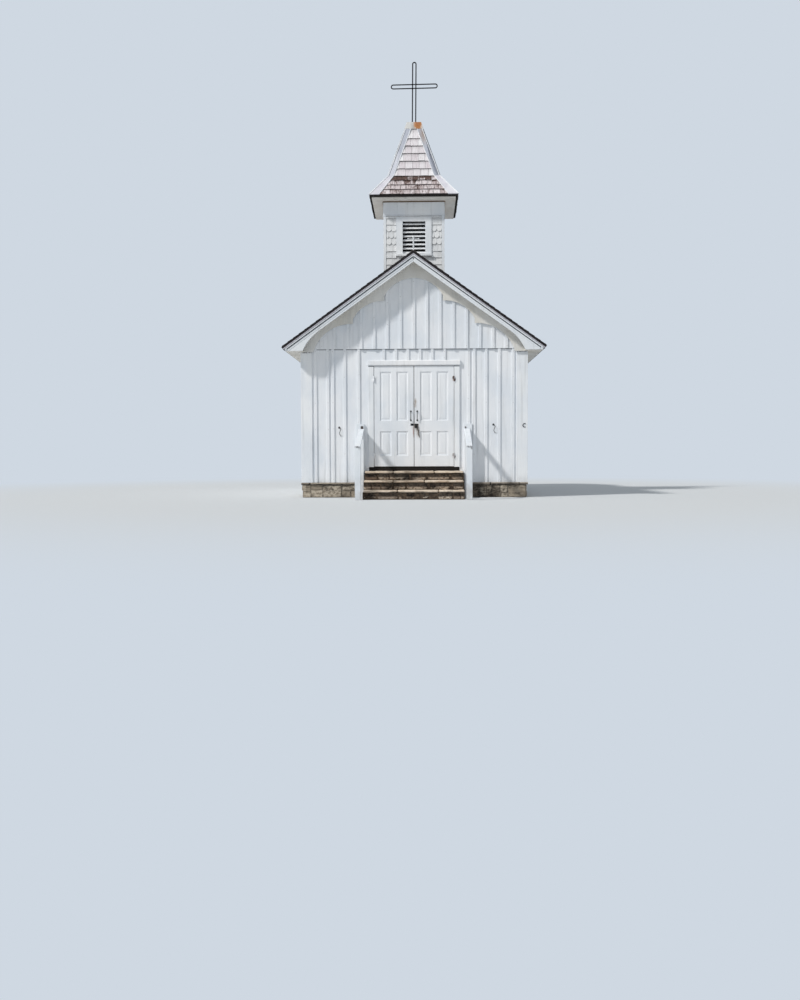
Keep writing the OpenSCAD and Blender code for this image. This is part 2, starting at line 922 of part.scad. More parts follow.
module belfry_soffit() {
    half = eave_w / 2 - soffit_in;
    color("white") belfry_side(0) block([-half, -half, belfry_top], [half, half, eave_z]);
}

// Square roof whose four sides all have this outline
module square_roof(outline) {
    reach = eave_w;
    intersection() {
        slab_y(-reach, reach, outline);
        slab_x(-reach, reach, outline);
    }
}

module spire_flare() {
    low = eave_w / 2;
    high = break_w / 2;
    color("sienna") belfry_side(0) square_roof([
        [-low, eave_z], [low, eave_z], [low, eave_z + eave_edge], [high, break_z],
        [-high, break_z], [-low, eave_z + eave_edge]
    ]);
}

module spire() {
    low = break_w / 2;
    high = tip_w / 2;
    color("white") belfry_side(0)
        square_roof([[-low, break_z], [low, break_z], [high, tip_z], [-high, tip_z]]);
}

// Boards along both edges of one sloping face, mitred at the hips and this wide at their foot
module face_hips(low, high, z0, z1, foot_w) {
    run = low - high;
    length = norm([run, z1 - z0]);
    angle = atan2(z1 - z0, run);
    over = 2 * hip_t;
    intersection() {
        translate([0, -low, z0]) rotate([angle, 0, 0]) translate([0, 0, SKIN]) both_sides()
            linear_extrude(hip_t)
                polygon([[low - foot_w, 0], [low + over, 0], [high + over, length], [high - hip_w, length]]);
        linear_extrude(tip_z - SKIN)
            polygon([[0, -SKIN], [low + over, -low - over - SKIN], [-low - over, -low - over - SKIN]]);
    }
}

module hip_boards() {
    color("lightgray") for (i = [0:3]) belfry_side(i) {
        face_hips(eave_w / 2, break_w / 2, eave_z + eave_edge, break_z, hip_foot_w);
        face_hips(break_w / 2, tip_w / 2, break_z, tip_z, hip_w);
    }
}

module spire_cap() {
    low = tip_w / 2 + cap_lip;
    high = cap_top_w / 2;
    lip_z = tip_z + cap_lip;
    color("whitesmoke") belfry_side(0) square_roof([
        [-low, tip_z], [low, tip_z], [low, lip_z], [high, cap_top_z], [-high, cap_top_z], [-low, lip_z]
    ]);
}

module cross() {
    upright_r = (upright_w - upright_d) / 2;
    arm_r = (arm_w - arm_d) / 2;
    straight = cross_h - upright_d / 2 - upright_r;
    arm_straight = cross_w - 2 * arm_r - arm_d;
    foot = upright_r * tan(cross_lean) + upright_d / 2 * sin(cross_lean) + SKIN;
    color("black") translate([0, belfry_y, cap_top_z + foot]) rotate([0, cross_lean, 0]) {
        for (side = [-1, 1]) translate([side * upright_r, 0, 0]) cylinder(h = straight, d = upright_d);
        translate([0, 0, straight]) rod_bend(upright_r, upright_d);
        translate([0, -arm_front, arm_z]) rotate([0, 90 - cross_lean - arm_tilt, 0]) {
            for (side = [-1, 1]) translate([side * arm_r, 0, -arm_straight / 2])
                cylinder(h = arm_straight, d = arm_d);
            translate([0, 0, arm_straight / 2]) rod_bend(arm_r, arm_d);
            translate([0, 0, -arm_straight / 2]) rotate([0, 180, 0]) rod_bend(arm_r, arm_d);
        }
    }
}

// Stem and ball standing astride the ridge
module ridge_finial() {
    foot_z = top_z(finial_d / 2);
    ball_z = ridge_z + finial_h - finial_ball / 2;
    color("white") translate([0, front_y - rake_over + finial_set, 0]) difference() {
        union() {
            translate([0, 0, foot_z]) cylinder(h = ball_z - foot_z, d = finial_d);
            translate([0, 0, ball_z]) sphere(d = finial_ball);
        }
        slab_y(-finial_d, finial_d, [[-half_w, top_z(half_w)], [0, ridge_z], [half_w, top_z(half_w)]]);
    }
}

foundation_ends();
foundation_sides();
foundation_ledge();
floor_boards();  // floor
front_wall_left();
front_wall_right();
front_wall_over_door();
gable();  // front_gable
back_wall();
at_back() gable();  // back_gable
mirror([1, 0, 0]) side_wall();  // left_wall
side_wall();  // right_wall
front_battens();
back_battens();
side_battens();
corner_boards();
door_casing();
door_cap();
door_sill();
left_door();
right_door();
jamb_hinges();
left_door_fittings();
right_door_fittings();
door_lock();
step(1);  // step_1
step(2);  // step_2
step(3);  // step_3
step_slabs();
handrails();
handrail_posts();
mirror([1, 0, 0]) roof_slope();  // roof_left
roof_slope();  // roof_right
eave_boxes();
bargeboards();
gable_friezes();
belfry_front();
belfry_back();
belfry_sides();
belfry_trim();
louvre_slats();
louvre_frames();
belfry_soffit();
spire_flare();
spire();
hip_boards();
spire_cap();
cross();
ridge_finial();
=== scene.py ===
"""Looks of a small board-and-batten chapel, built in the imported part's frame, in metres."""
import random
from itertools import product
from math import cos, hypot, pi, radians, sin

import bpy
from mathutils import Matrix, Vector, noise


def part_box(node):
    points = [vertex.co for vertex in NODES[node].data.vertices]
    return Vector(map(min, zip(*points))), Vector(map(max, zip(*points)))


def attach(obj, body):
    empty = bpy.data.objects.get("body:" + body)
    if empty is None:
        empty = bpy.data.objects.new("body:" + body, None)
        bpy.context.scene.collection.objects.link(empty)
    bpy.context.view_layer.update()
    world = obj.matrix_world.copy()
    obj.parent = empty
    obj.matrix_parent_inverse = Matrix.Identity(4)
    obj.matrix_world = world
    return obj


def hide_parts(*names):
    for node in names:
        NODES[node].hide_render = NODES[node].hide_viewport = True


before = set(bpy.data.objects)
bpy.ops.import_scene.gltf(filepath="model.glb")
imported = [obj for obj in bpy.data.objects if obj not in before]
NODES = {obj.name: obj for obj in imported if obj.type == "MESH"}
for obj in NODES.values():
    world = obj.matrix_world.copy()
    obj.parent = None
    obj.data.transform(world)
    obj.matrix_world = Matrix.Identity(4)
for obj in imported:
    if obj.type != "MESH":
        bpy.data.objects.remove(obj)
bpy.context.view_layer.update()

# Unseeded, the noise that wears the stones differs from run to run
noise.seed_set(7)

# Places and sizes read from the frame
WALL_LOW, WALL_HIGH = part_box("front_wall_right")
FRONT = WALL_LOW.y
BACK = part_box("back_wall")[1].y
HALF = WALL_HIGH.x
WALL_FOOT = WALL_LOW.z
GABLE_FOOT = WALL_HIGH.z
CAP_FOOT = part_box("door_cap")[0].z
STONE_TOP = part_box("foundation_ends")[1].z
LEDGE_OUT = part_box("foundation_ledge")[1].x - HALF
STEP_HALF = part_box("step_1")[1].x
SLAB_LEVELS = sorted({round(v.co.z, 4) for v in NODES["step_slabs"].data.vertices})
BELFRY_LOW, BELFRY_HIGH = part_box("belfry_front")
BELFRY_HALF = BELFRY_HIGH.x
BELFRY_Y = BELFRY_LOW.y + BELFRY_HALF
BELFRY_TOP = BELFRY_HIGH.z
AXIS = Vector((0, BELFRY_Y, 0))
ROOF_LOW, ROOF_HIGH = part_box("roof_right")
ROOF_TIP = max((v.co.copy() for v in NODES["roof_right"].data.vertices), key=lambda p: (round(p.x, 4), p.z))
ROOF_TAN = (ROOF_HIGH.z - ROOF_TIP.z) / ROOF_TIP.x
ROOF_SLANT = hypot(1, ROOF_TAN)
FASCIA_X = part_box("eave_boxes")[1].x

# Door leaf
LEAF_LOW, LEAF_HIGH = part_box("right_door")
STILE = 0.118
MUNTIN = 0.110
TOP_RAIL = 0.115
LOCK_RAIL = 0.215
BOTTOM_RAIL = 0.222
LOW_PANEL = 0.495
HINGE_X = 0.816
# Profile of a panel from its edge inwards: (inset, depth)
MOULDING = [
    (0.000, 0.0015), (0.002, 0.0030), (0.004, 0.0070), (0.007, 0.0140), (0.012, 0.0155),
    (0.034, 0.0155), (0.056, 0.0105), (0.059, 0.0100),
]

# Roof edge: the dark layers of shingles, the overhang that the trim leaves bare, the bargeboards' moulding
EDGE_T = 0.043
VERGE = 0.024
BARGE_MOULDING = 0.065

# Belfry and spire
BELFRY_CORNER = 0.038
BAND_H = 0.3
BAND_JOINTS = (-0.351, -0.125, 0.019, 0.355)
HIP_W = 0.12
HIP_FOOT_W = 0.21
HIP_T = 0.018
LIP_W = 0.014

# Shingles
ROOF_EXPOSURE = 0.14
BELFRY_EXPOSURE = 0.1385
SPIRE_EXPOSURE = 0.186
FLARE_EXPOSURE = 0.154
THIN_END = 0.002
BOW_STEPS = 8

# Colours, as they would be on a paint chart
WHITE = "eef0f3"
COOL = "e1e6ec"
CREAM = "dedad2"
CREAM_SHADE = "cdc7bb"
PLAIN_WOOD = "8f7a60"
BARE_WOOD = "8b8276"
GRIME = "7f776b"
RUST = "7d4526"
IRON_RUST = "5d3420"
RAIL_END_DARK = "29241f"
BACKDROP = "cfd8e2"

# Faces of a block whose corners run through X, then Y, then Z
BLOCK = [(0, 1, 3, 2), (4, 6, 7, 5), (0, 4, 5, 1), (2, 3, 7, 6), (0, 2, 6, 4), (1, 5, 7, 3)]


def linear(code):
    """Linear colour of a hex code."""
    parts = [int(code[i:i + 2], 16) / 255 for i in (0, 2, 4)]
    return [c / 12.92 if c <= 0.04045 else ((c + 0.055) / 1.055) ** 2.4 for c in parts] + [1.0]


class Tree:
    """A tree of shader nodes. Most calls add a node and give back its output."""

    def __init__(self, holder):
        holder.use_nodes = True
        self.nodes = holder.node_tree.nodes
        self.links = holder.node_tree.links

    def feed(self, socket, value):
        if isinstance(value, bpy.types.NodeSocket):
            self.links.new(value, socket)
        else:
            socket.default_value = value

    def node(self, kind, *fed, **settings):
        """A new node with these settings, and its first inputs fed in turn."""
        made = self.nodes.new(f"ShaderNode{kind}")
        for name, value in settings.items():
            setattr(made, name, value)
        for socket, value in zip(made.inputs, fed):
            self.feed(socket, value)
        return made

    def math(self, operation, a, b=0.0):
        return self.node("Math", a, b, operation=operation).outputs[0]

    def seen_rays(self):
        """1 for rays that see a surface or its mirror image, 0 for the light it casts."""
        path = self.node("LightPath").outputs
        direct = self.math("MAXIMUM", path["Is Camera Ray"], path["Is Glossy Ray"])
        return self.math("MAXIMUM", direct, path["Is Transmission Ray"])

    def show(self, output, share, a, b):
        """Ends the tree in shader a turning to shader b by this share."""
        made = self.node("MixShader", share, a, b)
        self.links.new(made.outputs[0], self.nodes[output].inputs["Surface"])


class Look(Tree):
    """A procedural material, with its colour and its bumps so far."""

    def __init__(self, name, roughness, specular, metallic=0.0):
        self.material = bpy.data.materials.new(name)
        super().__init__(self.material)
        self.shader = self.nodes["Principled BSDF"]
        values = {"Roughness": roughness, "Specular IOR Level": specular, "Metallic": metallic}
        for socket, number in values.items():
            self.shader.inputs[socket].default_value = number
        self.frame_place = self.place = self.node("TexCoord").outputs["Object"]
        self.colour = self.normal = None

    def vector(self, operation, a, b=(0, 0, 0)):
        """A vector, or the number that LENGTH gives."""
        return self.node("VectorMath", a, b, operation=operation).outputs[1 if operation == "LENGTH" else 0]

    def attribute(self, name, output="Fac"):
        return self.node("Attribute", attribute_name=name).outputs[output]

    def axis(self, name, vector=None):
        return self.node("SeparateXYZ", vector or self.place).outputs[name]

    def noise(self, waves, detail=3.0, roughness=0.55, distortion=0.0):
        """Noise from 0 to 1, with this many waves a metre along X, Y and Z."""
        made = self.node("TexNoise", self.vector("MULTIPLY", self.place, waves))
        numbers = {"Scale": 1.0, "Detail": detail, "Roughness": roughness, "Distortion": distortion}
        for socket, number in numbers.items():
            made.inputs[socket].default_value = number
        return made.outputs["Fac"]

    def ramp(self, value, start, end, low=0.0, high=1.0):
        """Goes smoothly from low at start to high at end."""
        return self.node("MapRange", value, start, end, low, high, interpolation_type="SMOOTHSTEP").outputs[0]

    def times(self, *values):
        made = values[0]
        for value in values[1:]:
            made = self.math("MULTIPLY", made, value)
        return made

    def within(self, low, high):
        """1 inside a box of the frame, 0 outside it."""
        low, high = Vector(low), Vector(high)
        distance = self.vector("ABSOLUTE", self.vector("SUBTRACT", self.place, (low + high) / 2))
        beyond = self.vector("SUBTRACT", distance, (high - low) / 2)
        furthest = self.math("MAXIMUM", self.axis("X", beyond), self.axis("Y", beyond))
        return self.ramp(self.math("MAXIMUM", furthest, self.axis("Z", beyond)), 0.0, -0.004)

    def spot(self, centre, reach):
        """1 at a point of the frame, falling to 0 at this reach along X, Y and Z."""
        share = self.vector("DIVIDE", self.vector("SUBTRACT", self.place, centre), reach)
        return self.ramp(self.vector("LENGTH", share), 0.0, 1.0, 1.0, 0.0)

    def mix(self, share, a, b):
        """Colour a turning to b by this share. A colour is a hex code or a socket."""
        made = self.node("Mix", share, data_type="RGBA")
        for socket, colour in zip(made.inputs[6:8], (a, b)):
            self.feed(socket, linear(colour) if isinstance(colour, str) else colour)
        return made.outputs[2]

    def tint(self, colour, *shares):
        """Turns the colour so far to this one, by the product of the shares."""
        self.colour = self.mix(self.times(*shares), self.colour, colour)

    def stain(self, colour, value, start, end, share=1.0):
        """Turns the colour so far to this one, up to a share, as the value goes from start to end."""
        self.tint(colour, self.ramp(value, start, end, 0.0, share))

    def bump(self, height, distance):
        made = self.node("Bump")
        values = {"Strength": 1.0, "Distance": distance, "Height": height}
        if self.normal:
            values["Normal"] = self.normal
        for socket, value in values.items():
            self.feed(made.inputs[socket], value)
        self.normal = made.outputs["Normal"]

    def finish(self, roughness=None):
        for socket, value in (("Base Color", self.colour), ("Roughness", roughness), ("Normal", self.normal)):
            if value is not None:
                self.feed(self.shader.inputs[socket], value)
        return self.material


def stretched(along, fine, long):
    """Waves a metre of a grain that runs along X, Y or Z."""
    return tuple(long if name == along else fine for name in "xyz")


def painted(
    name, along="z", coat=WHITE, other=COOL, worn=0.5, damp=0, spots=(), shade_lines=(), room=(), inner=PLAIN_WOOD,
):
    """Old paint on wood, with grain, streaks, flakes, damp, spots, thin bands of painted shade and bare wood
    in a room.
    """
    look = Look(name, 0.55, 0.35)
    grain = look.noise(stretched(along, 85, 3.5), 4.0, 0.65)
    cloud = look.noise((1.7, 1.7, 1.1))
    streak = look.noise(stretched("z", 13, 0.7))
    look.colour = look.mix(look.ramp(cloud, 0.35, 0.7), coat, other)
    look.tint("b3b5b5", look.ramp(streak, 0.52, 0.78), 0.34)
    look.stain("a3a4a3", grain, 0.60, 0.82, 0.2)
    chips = look.ramp(look.noise(stretched(along, 46, 9), 6.0, 0.7), 0.66, 0.70)
    patches = look.ramp(look.noise((1.3, 1.3, 1.9), 2.0), 0.50, 0.68)
    flaked = look.times(chips, patches, worn)
    look.tint(BARE_WOOD, flaked)
    if damp:
        rise = look.ramp(look.axis("Z"), WALL_FOOT + 0.2, WALL_FOOT, 0.0, damp)
        look.tint(GRIME, rise, look.ramp(look.noise((5, 5, 4), 5.0), 0.35, 0.75))
    for centre, reach, colour, strength in spots:
        rough_edge = look.ramp(look.noise(stretched("z", 40, 12), 4.0), 0.30, 0.62)
        look.tint(colour, look.spot(centre, reach), rough_edge, strength)
    # Thin bands of painted shade under a proud edge above them
    for low, high in shade_lines:
        level = look.axis("Z")
        above = look.ramp(level, low, low + 0.006)
        look.tint("5a5f66", above, look.ramp(level, high + 0.002, high - 0.002), 0.75)
    if room:
        look.tint(look.mix(look.ramp(grain, 0.35, 0.7), inner, "3d332a"), look.within(*room))
    look.bump(grain, 0.0022)
    look.bump(look.times(flaked, -1.0), 0.0008)
    return look.finish(look.ramp(cloud, 0.2, 0.8, 0.48, 0.66))


def wooden_shingle(name, coat, dark, bare, peel, spots=(), painted_shade=0.86, deep="3f322b"):
    """Shingles: each with its own tone, with painted shade on the butts and towards the top of each row. peel
    is how much paint is gone.
    """
    look = Look(name, 0.8, 0.2)
    look.place = look.attribute("grain", "Vector")
    tone = look.attribute("tone")
    grain = look.noise((95, 95, 5), 5.0, 0.7)
    streak = look.noise((44, 44, 2.5), 4.0, 0.65)
    blotch = look.noise((14, 14, 6), 4.0)
    worn = look.math("ADD", look.times(tone, 0.34), look.times(blotch, 0.72))
    look.place = look.frame_place
    for centre, reach, share in spots:
        worn = look.math("ADD", worn, look.times(look.spot(centre, reach), share))
    wood = look.mix(look.ramp(grain, 0.3, 0.7), bare, deep)
    look.colour = look.mix(tone, coat, dark)
    look.stain(wood, worn, 0.95 - peel, 1.05 - peel * 0.8)
    look.stain(bare, streak, 0.5, 0.62, min(0.8, 2.4 * peel))
    look.stain(dark, grain, 0.55, 0.8, 0.35)
    # Painted shade: dark on the butts and undersides, and growing towards each shingle's top, under the next
    # row's butt
    look.stain("2b2521", look.attribute("shade"), 0.3, 1.0, painted_shade)
    look.bump(grain, 0.004)
    return look.finish()


def weathered_roof():
    """Old unpainted roof shingles, silvery grey to dark brown, with painted shade at the butts."""
    look = Look("weathered_roof", 0.88, 0.15)
    look.place = look.attribute("grain", "Vector")
    grain = look.noise((120, 120, 5), 5.0, 0.7)
    look.colour = look.mix(look.attribute("tone"), "6b625c", "4a423e")
    look.stain("8a817a", look.noise((9, 9, 5), 4.0), 0.45, 0.75, 0.7)
    look.stain("35302d", grain, 0.5, 0.75, 0.6)
    # Painted shade on the butts and under the next row, from the shade attribute
    look.stain("1d1a18", look.attribute("shade"), 0.3, 1.0, 0.8)
    look.bump(grain, 0.005)
    return look.finish()


def roof_deck():
    """The bare roof: dark edges, a moulding at the gables, cream overhangs, plain boards inside."""
    look = Look("roof_deck", 0.85, 0.15)
    normal = look.node("NewGeometry").outputs["Normal"]
    gable = look.ramp(look.math("ABSOLUTE", look.axis("Y", normal)), 0.5, 0.6)
    level = look.math("ADD", look.axis("Z"), look.times(look.math("ABSOLUTE", look.axis("X")), ROOF_TAN))
    foot = ROOF_HIGH.z - EDGE_T * ROOF_SLANT
    layers = look.noise((9, 3, 160), 4.0, 0.7)
    grain = look.noise((60, 3, 60), 4.0)
    look.colour = look.mix(look.ramp(layers, 0.35, 0.65), "1b191b", "353134")
    moulding = look.mix(look.ramp(grain, 0.35, 0.65), "c4c5ce", "9f9ba2")
    look.tint(moulding, gable, look.ramp(level, foot + 0.002, foot - 0.002))
    boards = look.mix(look.ramp(grain, 0.3, 0.7), "a08a6d", "7d6a52")
    paint = look.mix(look.ramp(grain, 0.4, 0.7), CREAM, CREAM_SHADE)
    room = look.within((-HALF, FRONT - 0.01, 0.0), (HALF, BACK + 0.01, ROOF_HIGH.z))
    trimmed = look.within((-FASCIA_X, ROOF_LOW.y + VERGE, 0.0), (FASCIA_X, ROOF_HIGH.y - VERGE, ROOF_HIGH.z))
    under = look.mix(trimmed, "2a2523", look.mix(room, paint, boards))
    look.stain(under, look.axis("Z", normal), -0.3, -0.6)
    look.bump(layers, 0.006)
    return look.finish()


def stony(name, light, middle, dark, waves, relief=0.012, stained=0.5, painted_shade=(), spots=()):
    """Rough stone with grit, patches and lichen, and bands of painted shade, each given as (low, high,
    share).
    """
    look = Look(name, 0.92, 0.2)
    patch = look.noise((waves, waves, waves * 1.6), 6.0, 0.65)
    grit = look.noise((110, 110, 110), 4.0, 0.7)
    lichen = look.noise((4.5, 4.5, 7.0), 7.0, 0.72, 0.4)
    look.colour = look.mix(look.attribute("tone"), light, middle)
    look.stain(middle, patch, 0.44, 0.60)
    look.stain(dark, lichen, 0.50, 0.66, stained)
    look.stain(dark, grit, 0.55, 0.8, 0.4)
    level = look.axis("Z")
    # Bands of painted shade, such as under the slabs' nosings and on the ledge's face
    for low, high, share in painted_shade:
        band = look.times(look.ramp(level, low, low + 0.03), look.ramp(level, high, high - 0.008))
        look.tint(dark, band, look.ramp(patch, 0.62, 0.42, 0.6, 1.0), share)
    for centre, reach, share in spots:
        look.tint(dark, look.spot(centre, reach), look.ramp(lichen, 0.35, 0.55, 0.35, 1.0), share)
    look.bump(patch, relief)
    look.bump(grit, 0.003)
    return look.finish()


def iron(name, base, rusty):
    """Painted iron with rust breaking through."""
    look = Look(name, 0.5, 0.5, metallic=0.35)
    patch = look.noise((26, 26, 26), 6.0, 0.7)
    share = look.ramp(patch, 0.62 - 0.2 * rusty, 0.78 - 0.2 * rusty, 0.0, min(1.0, rusty * 2))
    look.colour = look.mix(share, base, IRON_RUST)
    look.bump(look.noise((240, 240, 240)), 0.0006)
    return look.finish(look.ramp(patch, 0.3, 0.7, 0.38, 0.7))


def bare_timber(name, along, light, dark):
    """Unpainted boards that went grey or brown, each with its own tone."""
    look = Look(name, 0.8, 0.25)
    grain = look.noise(stretched(along, 75, 2.5), 5.0, 0.7)
    look.colour = look.mix(look.attribute("tone"), light, dark)
    look.stain(dark, grain, 0.45, 0.75, 0.7)
    look.bump(grain, 0.003)
    return look.finish()


def cap_look():
    """Grey-white painted sheet metal with an orange run of rust on its right."""
    look = Look("cap_metal", 0.5, 0.5)
    low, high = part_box("spire_cap")
    cloud = look.noise((9, 9, 5), 5.0)
    edge = look.ramp(look.noise((30, 30, 9), 4.0), 0.22, 0.5)
    run = look.spot((0.085, low.y, high.z - 0.03), (0.15, 0.4, 0.3))
    look.colour = look.mix(look.ramp(cloud, 0.4, 0.7), "d6d5d2", "b4b2ad")
    look.tint("b87a3e", look.ramp(run, 0.1, 0.6), edge, 0.95)
    look.tint("9a5a2a", look.ramp(run, 0.5, 0.95), edge, 0.6)
    look.tint("a0632f", look.spot((-0.05, high.y, high.z), (0.12, 0.3, 0.14)), edge, 0.7)
    look.bump(cloud, 0.002)
    return look.finish()


def hinge_look():
    """White painted hinges with rust, on fittings that are black iron further in."""
    look = Look("hinge_paint", 0.5, 0.4)
    patch = look.noise((38, 38, 22), 5.0, 0.7)
    low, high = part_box("jamb_hinges")
    look.colour = look.mix(look.ramp(patch, 0.6, 0.75, 0.0, 0.5), WHITE, RUST)
    for z, share in ((high.z - 0.05, 0.95), (low.z + 0.06, 0.6)):
        rusted = look.spot((HINGE_X, low.y, z), (0.06, 0.1, 0.11))
        look.tint("4f3527", look.ramp(rusted, 0.1, 0.5), share)
    black = look.mix(look.ramp(patch, 0.56, 0.72, 0.0, 0.4), "0b0b0d", IRON_RUST)
    look.stain(black, look.math("ABSOLUTE", look.axis("X")), 0.34, 0.3)
    return look.finish()


def hip_look():
    """Grey-lavender on the steep hips, white on the flare, brown under the cap on the right."""
    look = Look("hip_paint", 0.55, 0.35)
    cloud = look.ramp(look.noise((5, 5, 3), 5.0), 0.35, 0.7)
    grain = look.noise((70, 70, 6), 4.0, 0.65)
    break_z, tip_z = (corner.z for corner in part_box("spire"))
    steep = look.mix(cloud, "b3b7c3", "c6c9d2")
    foot = look.mix(cloud, "e0dfe5", "cccad4")
    look.colour = look.mix(look.ramp(look.axis("Z"), break_z - 0.02, break_z + 0.02), foot, steep)
    look.stain("8d8c92", grain, 0.58, 0.8, 0.35)
    run = look.spot((0.21, BELFRY_Y - 0.25, tip_z - 0.1), (0.16, 0.2, 0.45))
    look.tint("8f7152", run, look.ramp(grain, 0.25, 0.6, 0.5, 1.0), 0.75)
    look.bump(grain, 0.003)
    return look.finish()


def shown(name, data):
    """A new object in the scene."""
    made = bpy.data.objects.new(name, data)
    bpy.context.scene.collection.objects.link(made)
    return made


class Piece:
    """Points and faces gathered for one piece. Each part has its own tone, and its own place in the grain."""

    def __init__(self, seed):
        self.points, self.faces, self.grain, self.tone, self.shade = [], [], [], [], []
        self.rng = random.Random(seed)

    def add(self, points, faces, grain=None, shade=None):
        first = len(self.points)
        shift = Vector([self.rng.uniform(0, 40) for _ in range(3)])
        tone = self.rng.random()
        self.points += [tuple(p) for p in points]
        self.grain += [Vector(g) + shift for g in grain or points]
        self.tone += [tone] * len(points)
        self.shade += shade or [0.0] * len(points)
        self.faces += [[first + i for i in face] for face in faces]

    def block(self, low, high):
        self.add(list(product(*zip(low, high))), BLOCK)

    def strip(self, place, start, stop, width, low, high):
        """A strip on a face from one point (a, s) to another, this wide, between two heights."""
        corners = product((0.0, width), (start, stop), (low, high))
        self.add([place(a + step, s, h) for step, (a, s), h in corners], BLOCK)

    def dome(self, place, a, s, radius, low, high):
        """The head of a nail or screw on a face."""
        turns = [pi * k / 4 for k in range(8)]
        ring = [place(a + radius * cos(t), s + radius * sin(t), low) for t in turns]
        self.add(ring + [place(a, s, high)], [(k, (k + 1) % 8, 8) for k in range(8)])

    def rod(self, path, radius, sides=8, closed=False):
        """A round rod along a path."""
        path = [Vector(p) for p in path]
        count = len(path)
        points = []
        side = None
        for i, p in enumerate(path):
            before = path[i - 1] if i or closed else p
            after = path[(i + 1) % count] if i < count - 1 or closed else p
            ahead = (after - before).normalized()
            if side is None:
                side = ahead.orthogonal()
            side = (side - ahead * side.dot(ahead)).normalized()
            other = ahead.cross(side)
            for k in range(sides):
                angle = 2 * pi * k / sides
                points.append(p + radius * (cos(angle) * side + sin(angle) * other))
        faces = []
        for i in range(count if closed else count - 1):
            a, b = i * sides, (i + 1) % count * sides
            faces += [(a + k, a + (k + 1) % sides, b + (k + 1) % sides, b + k) for k in range(sides)]
        if not closed:
            faces += [tuple(reversed(range(sides))), tuple(range((count - 1) * sides, count * sides))]
        self.add(points, faces)

    def make(self, name, look, body="building", bevel=0.0, smooth=None, replaces=()):
        mesh = bpy.data.meshes.new(name)
        mesh.from_pydata(self.points, [], self.faces)
        for label, values in (("tone", self.tone), ("shade", self.shade)):
            mesh.attributes.new(label, "FLOAT", "POINT").data.foreach_set("value", values)
        flat = [c for g in self.grain for c in g]
        mesh.attributes.new("grain", "FLOAT_VECTOR", "POINT").data.foreach_set("vector", flat)
        mesh.materials.append(look)
        if smooth is not None:
            mesh.polygons.foreach_set("use_smooth", [True] * len(mesh.polygons))
            mesh.set_sharp_from_angle(angle=radians(smooth))
        made = shown(name, mesh)
        if bevel:
            soften(made, bevel)
        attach(made, body)
        if replaces:
            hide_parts(*replaces)


def soften(target, width, weld=False):
    """Rounds an object's sharp edges a little."""
    if weld:
        target.modifiers.new("weld", "WELD").merge_threshold = 0.00002
    bevel = target.modifiers.new("bevel", "BEVEL")
    bevel.width = width
    bevel.segments = 2
    bevel.limit_method = "ANGLE"
    bevel.angle_limit = radians(30)
    bevel.harden_normals = not weld


def dress(look, *names, bevel=0.0):
    """Gives CAD nodes their material and, where they are boards, softer edges."""
    for name in names:
        node = NODES[name]
        if not node.material_slots:
            node.data.materials.append(look)
        for slot in node.material_slots:
            slot.material = look
        if bevel:
            soften(node, bevel, weld=True)


def solid_boxes(node):
    """(low, high) of each separate solid of a CAD node."""
    data = NODES[node].data
    corners = [tuple(round(c, 5) for c in v.co) for v in data.vertices]
    solid = {corner: {corner} for corner in corners}
    for polygon in data.polygons:
        joined = set().union(*(solid[corners[i]] for i in polygon.vertices))
        solid.update(dict.fromkeys(joined, joined))
    groups = {}
    for v, corner in zip(data.vertices, corners):
        groups.setdefault(id(solid[corner]), []).append(v.co)
    boxes = [[Vector(map(end, zip(*points))) for end in (min, max)] for points in groups.values()]
    return sorted(boxes, key=lambda b: (round(b[0].y, 3), b[0].x, b[0].z))


def half_at(node, level):
    """Half the width of a CAD node at a level."""
    return max(abs(v.co.x) for v in NODES[node].data.vertices if abs(v.co.z - level) < 0.001)


def slope(origin, across, up):
    """place(a, s, h): the point a along a face, s up it and h off it."""
    across = Vector(across).normalized()
    up = Vector(up).normalized()
    out = across.cross(up)
    origin = Vector(origin)
    return lambda a, s, h: origin + across * a + up * s + out * h


def four_faces(half, level, up=(0, 0, 1)):
    """place() on the four sides of the belfry or spire, front first."""
    face = slope((0, BELFRY_Y - half, level), (1, 0, 0), up)
    turns = [Matrix.Rotation(radians(90 * quarter), 3, "Z") for quarter in range(4)]
    return [lambda a, s, h, turn=turn: turn @ (face(a, s, h) - AXIS) + AXIS for turn in turns]


def shingle(piece, place, left, right, low, up, butt, limit=None, bow=0.0, floor=None):
    """A tapered shingle, thick at its foot. bow is the depth of a rounded foot."""
    if bow:
        turns = [pi * k / BOW_STEPS for k in range(BOW_STEPS + 1)]
        middle, half = (left + right) / 2, (right - left) / 2
        foot = [(middle - half * cos(t), low + bow * (1 - sin(t))) for t in turns]
    else:
        foot = [(left, low), (right, low + piece.rng.uniform(-0.002, 0.002))]
    outline = foot + [(right, up), (left, up)]
    if floor:
        outline = [(a, max(s, min(floor(a), up))) for a, s in outline]
    if limit:
        outline = [(max(-limit(s), min(limit(s), a)), s) for a, s in outline]
    count = len(outline)
    lift = [THIN_END + (butt - THIN_END) * (up - s) / (up - low) for a, s in outline]
    points = 2 * [place(a, s, h) for (a, s), h in zip(outline, lift)]
    points += [place(a, s, -0.001) for a, s in outline]
    grain = 2 * [(a, h, s) for (a, s), h in zip(outline, lift)] + [(a, 0, s) for a, s in outline]
    # Painted shade for the looks: 1 on the butt and the underside, 0.15 at the foot, 0.62 at the top under
    # the next row
    shade = [0.62 if s > up - 0.001 else 0.15 for a, s in outline] + [1.0] * (2 * count)
    faces = [tuple(range(count))]
    for i in range(count):
        after = (i + 1) % count
        if i != count - 2:
            faces.append((2 * count + i, 2 * count + after, count + after, count + i))
    piece.add(points, faces, grain, shade)


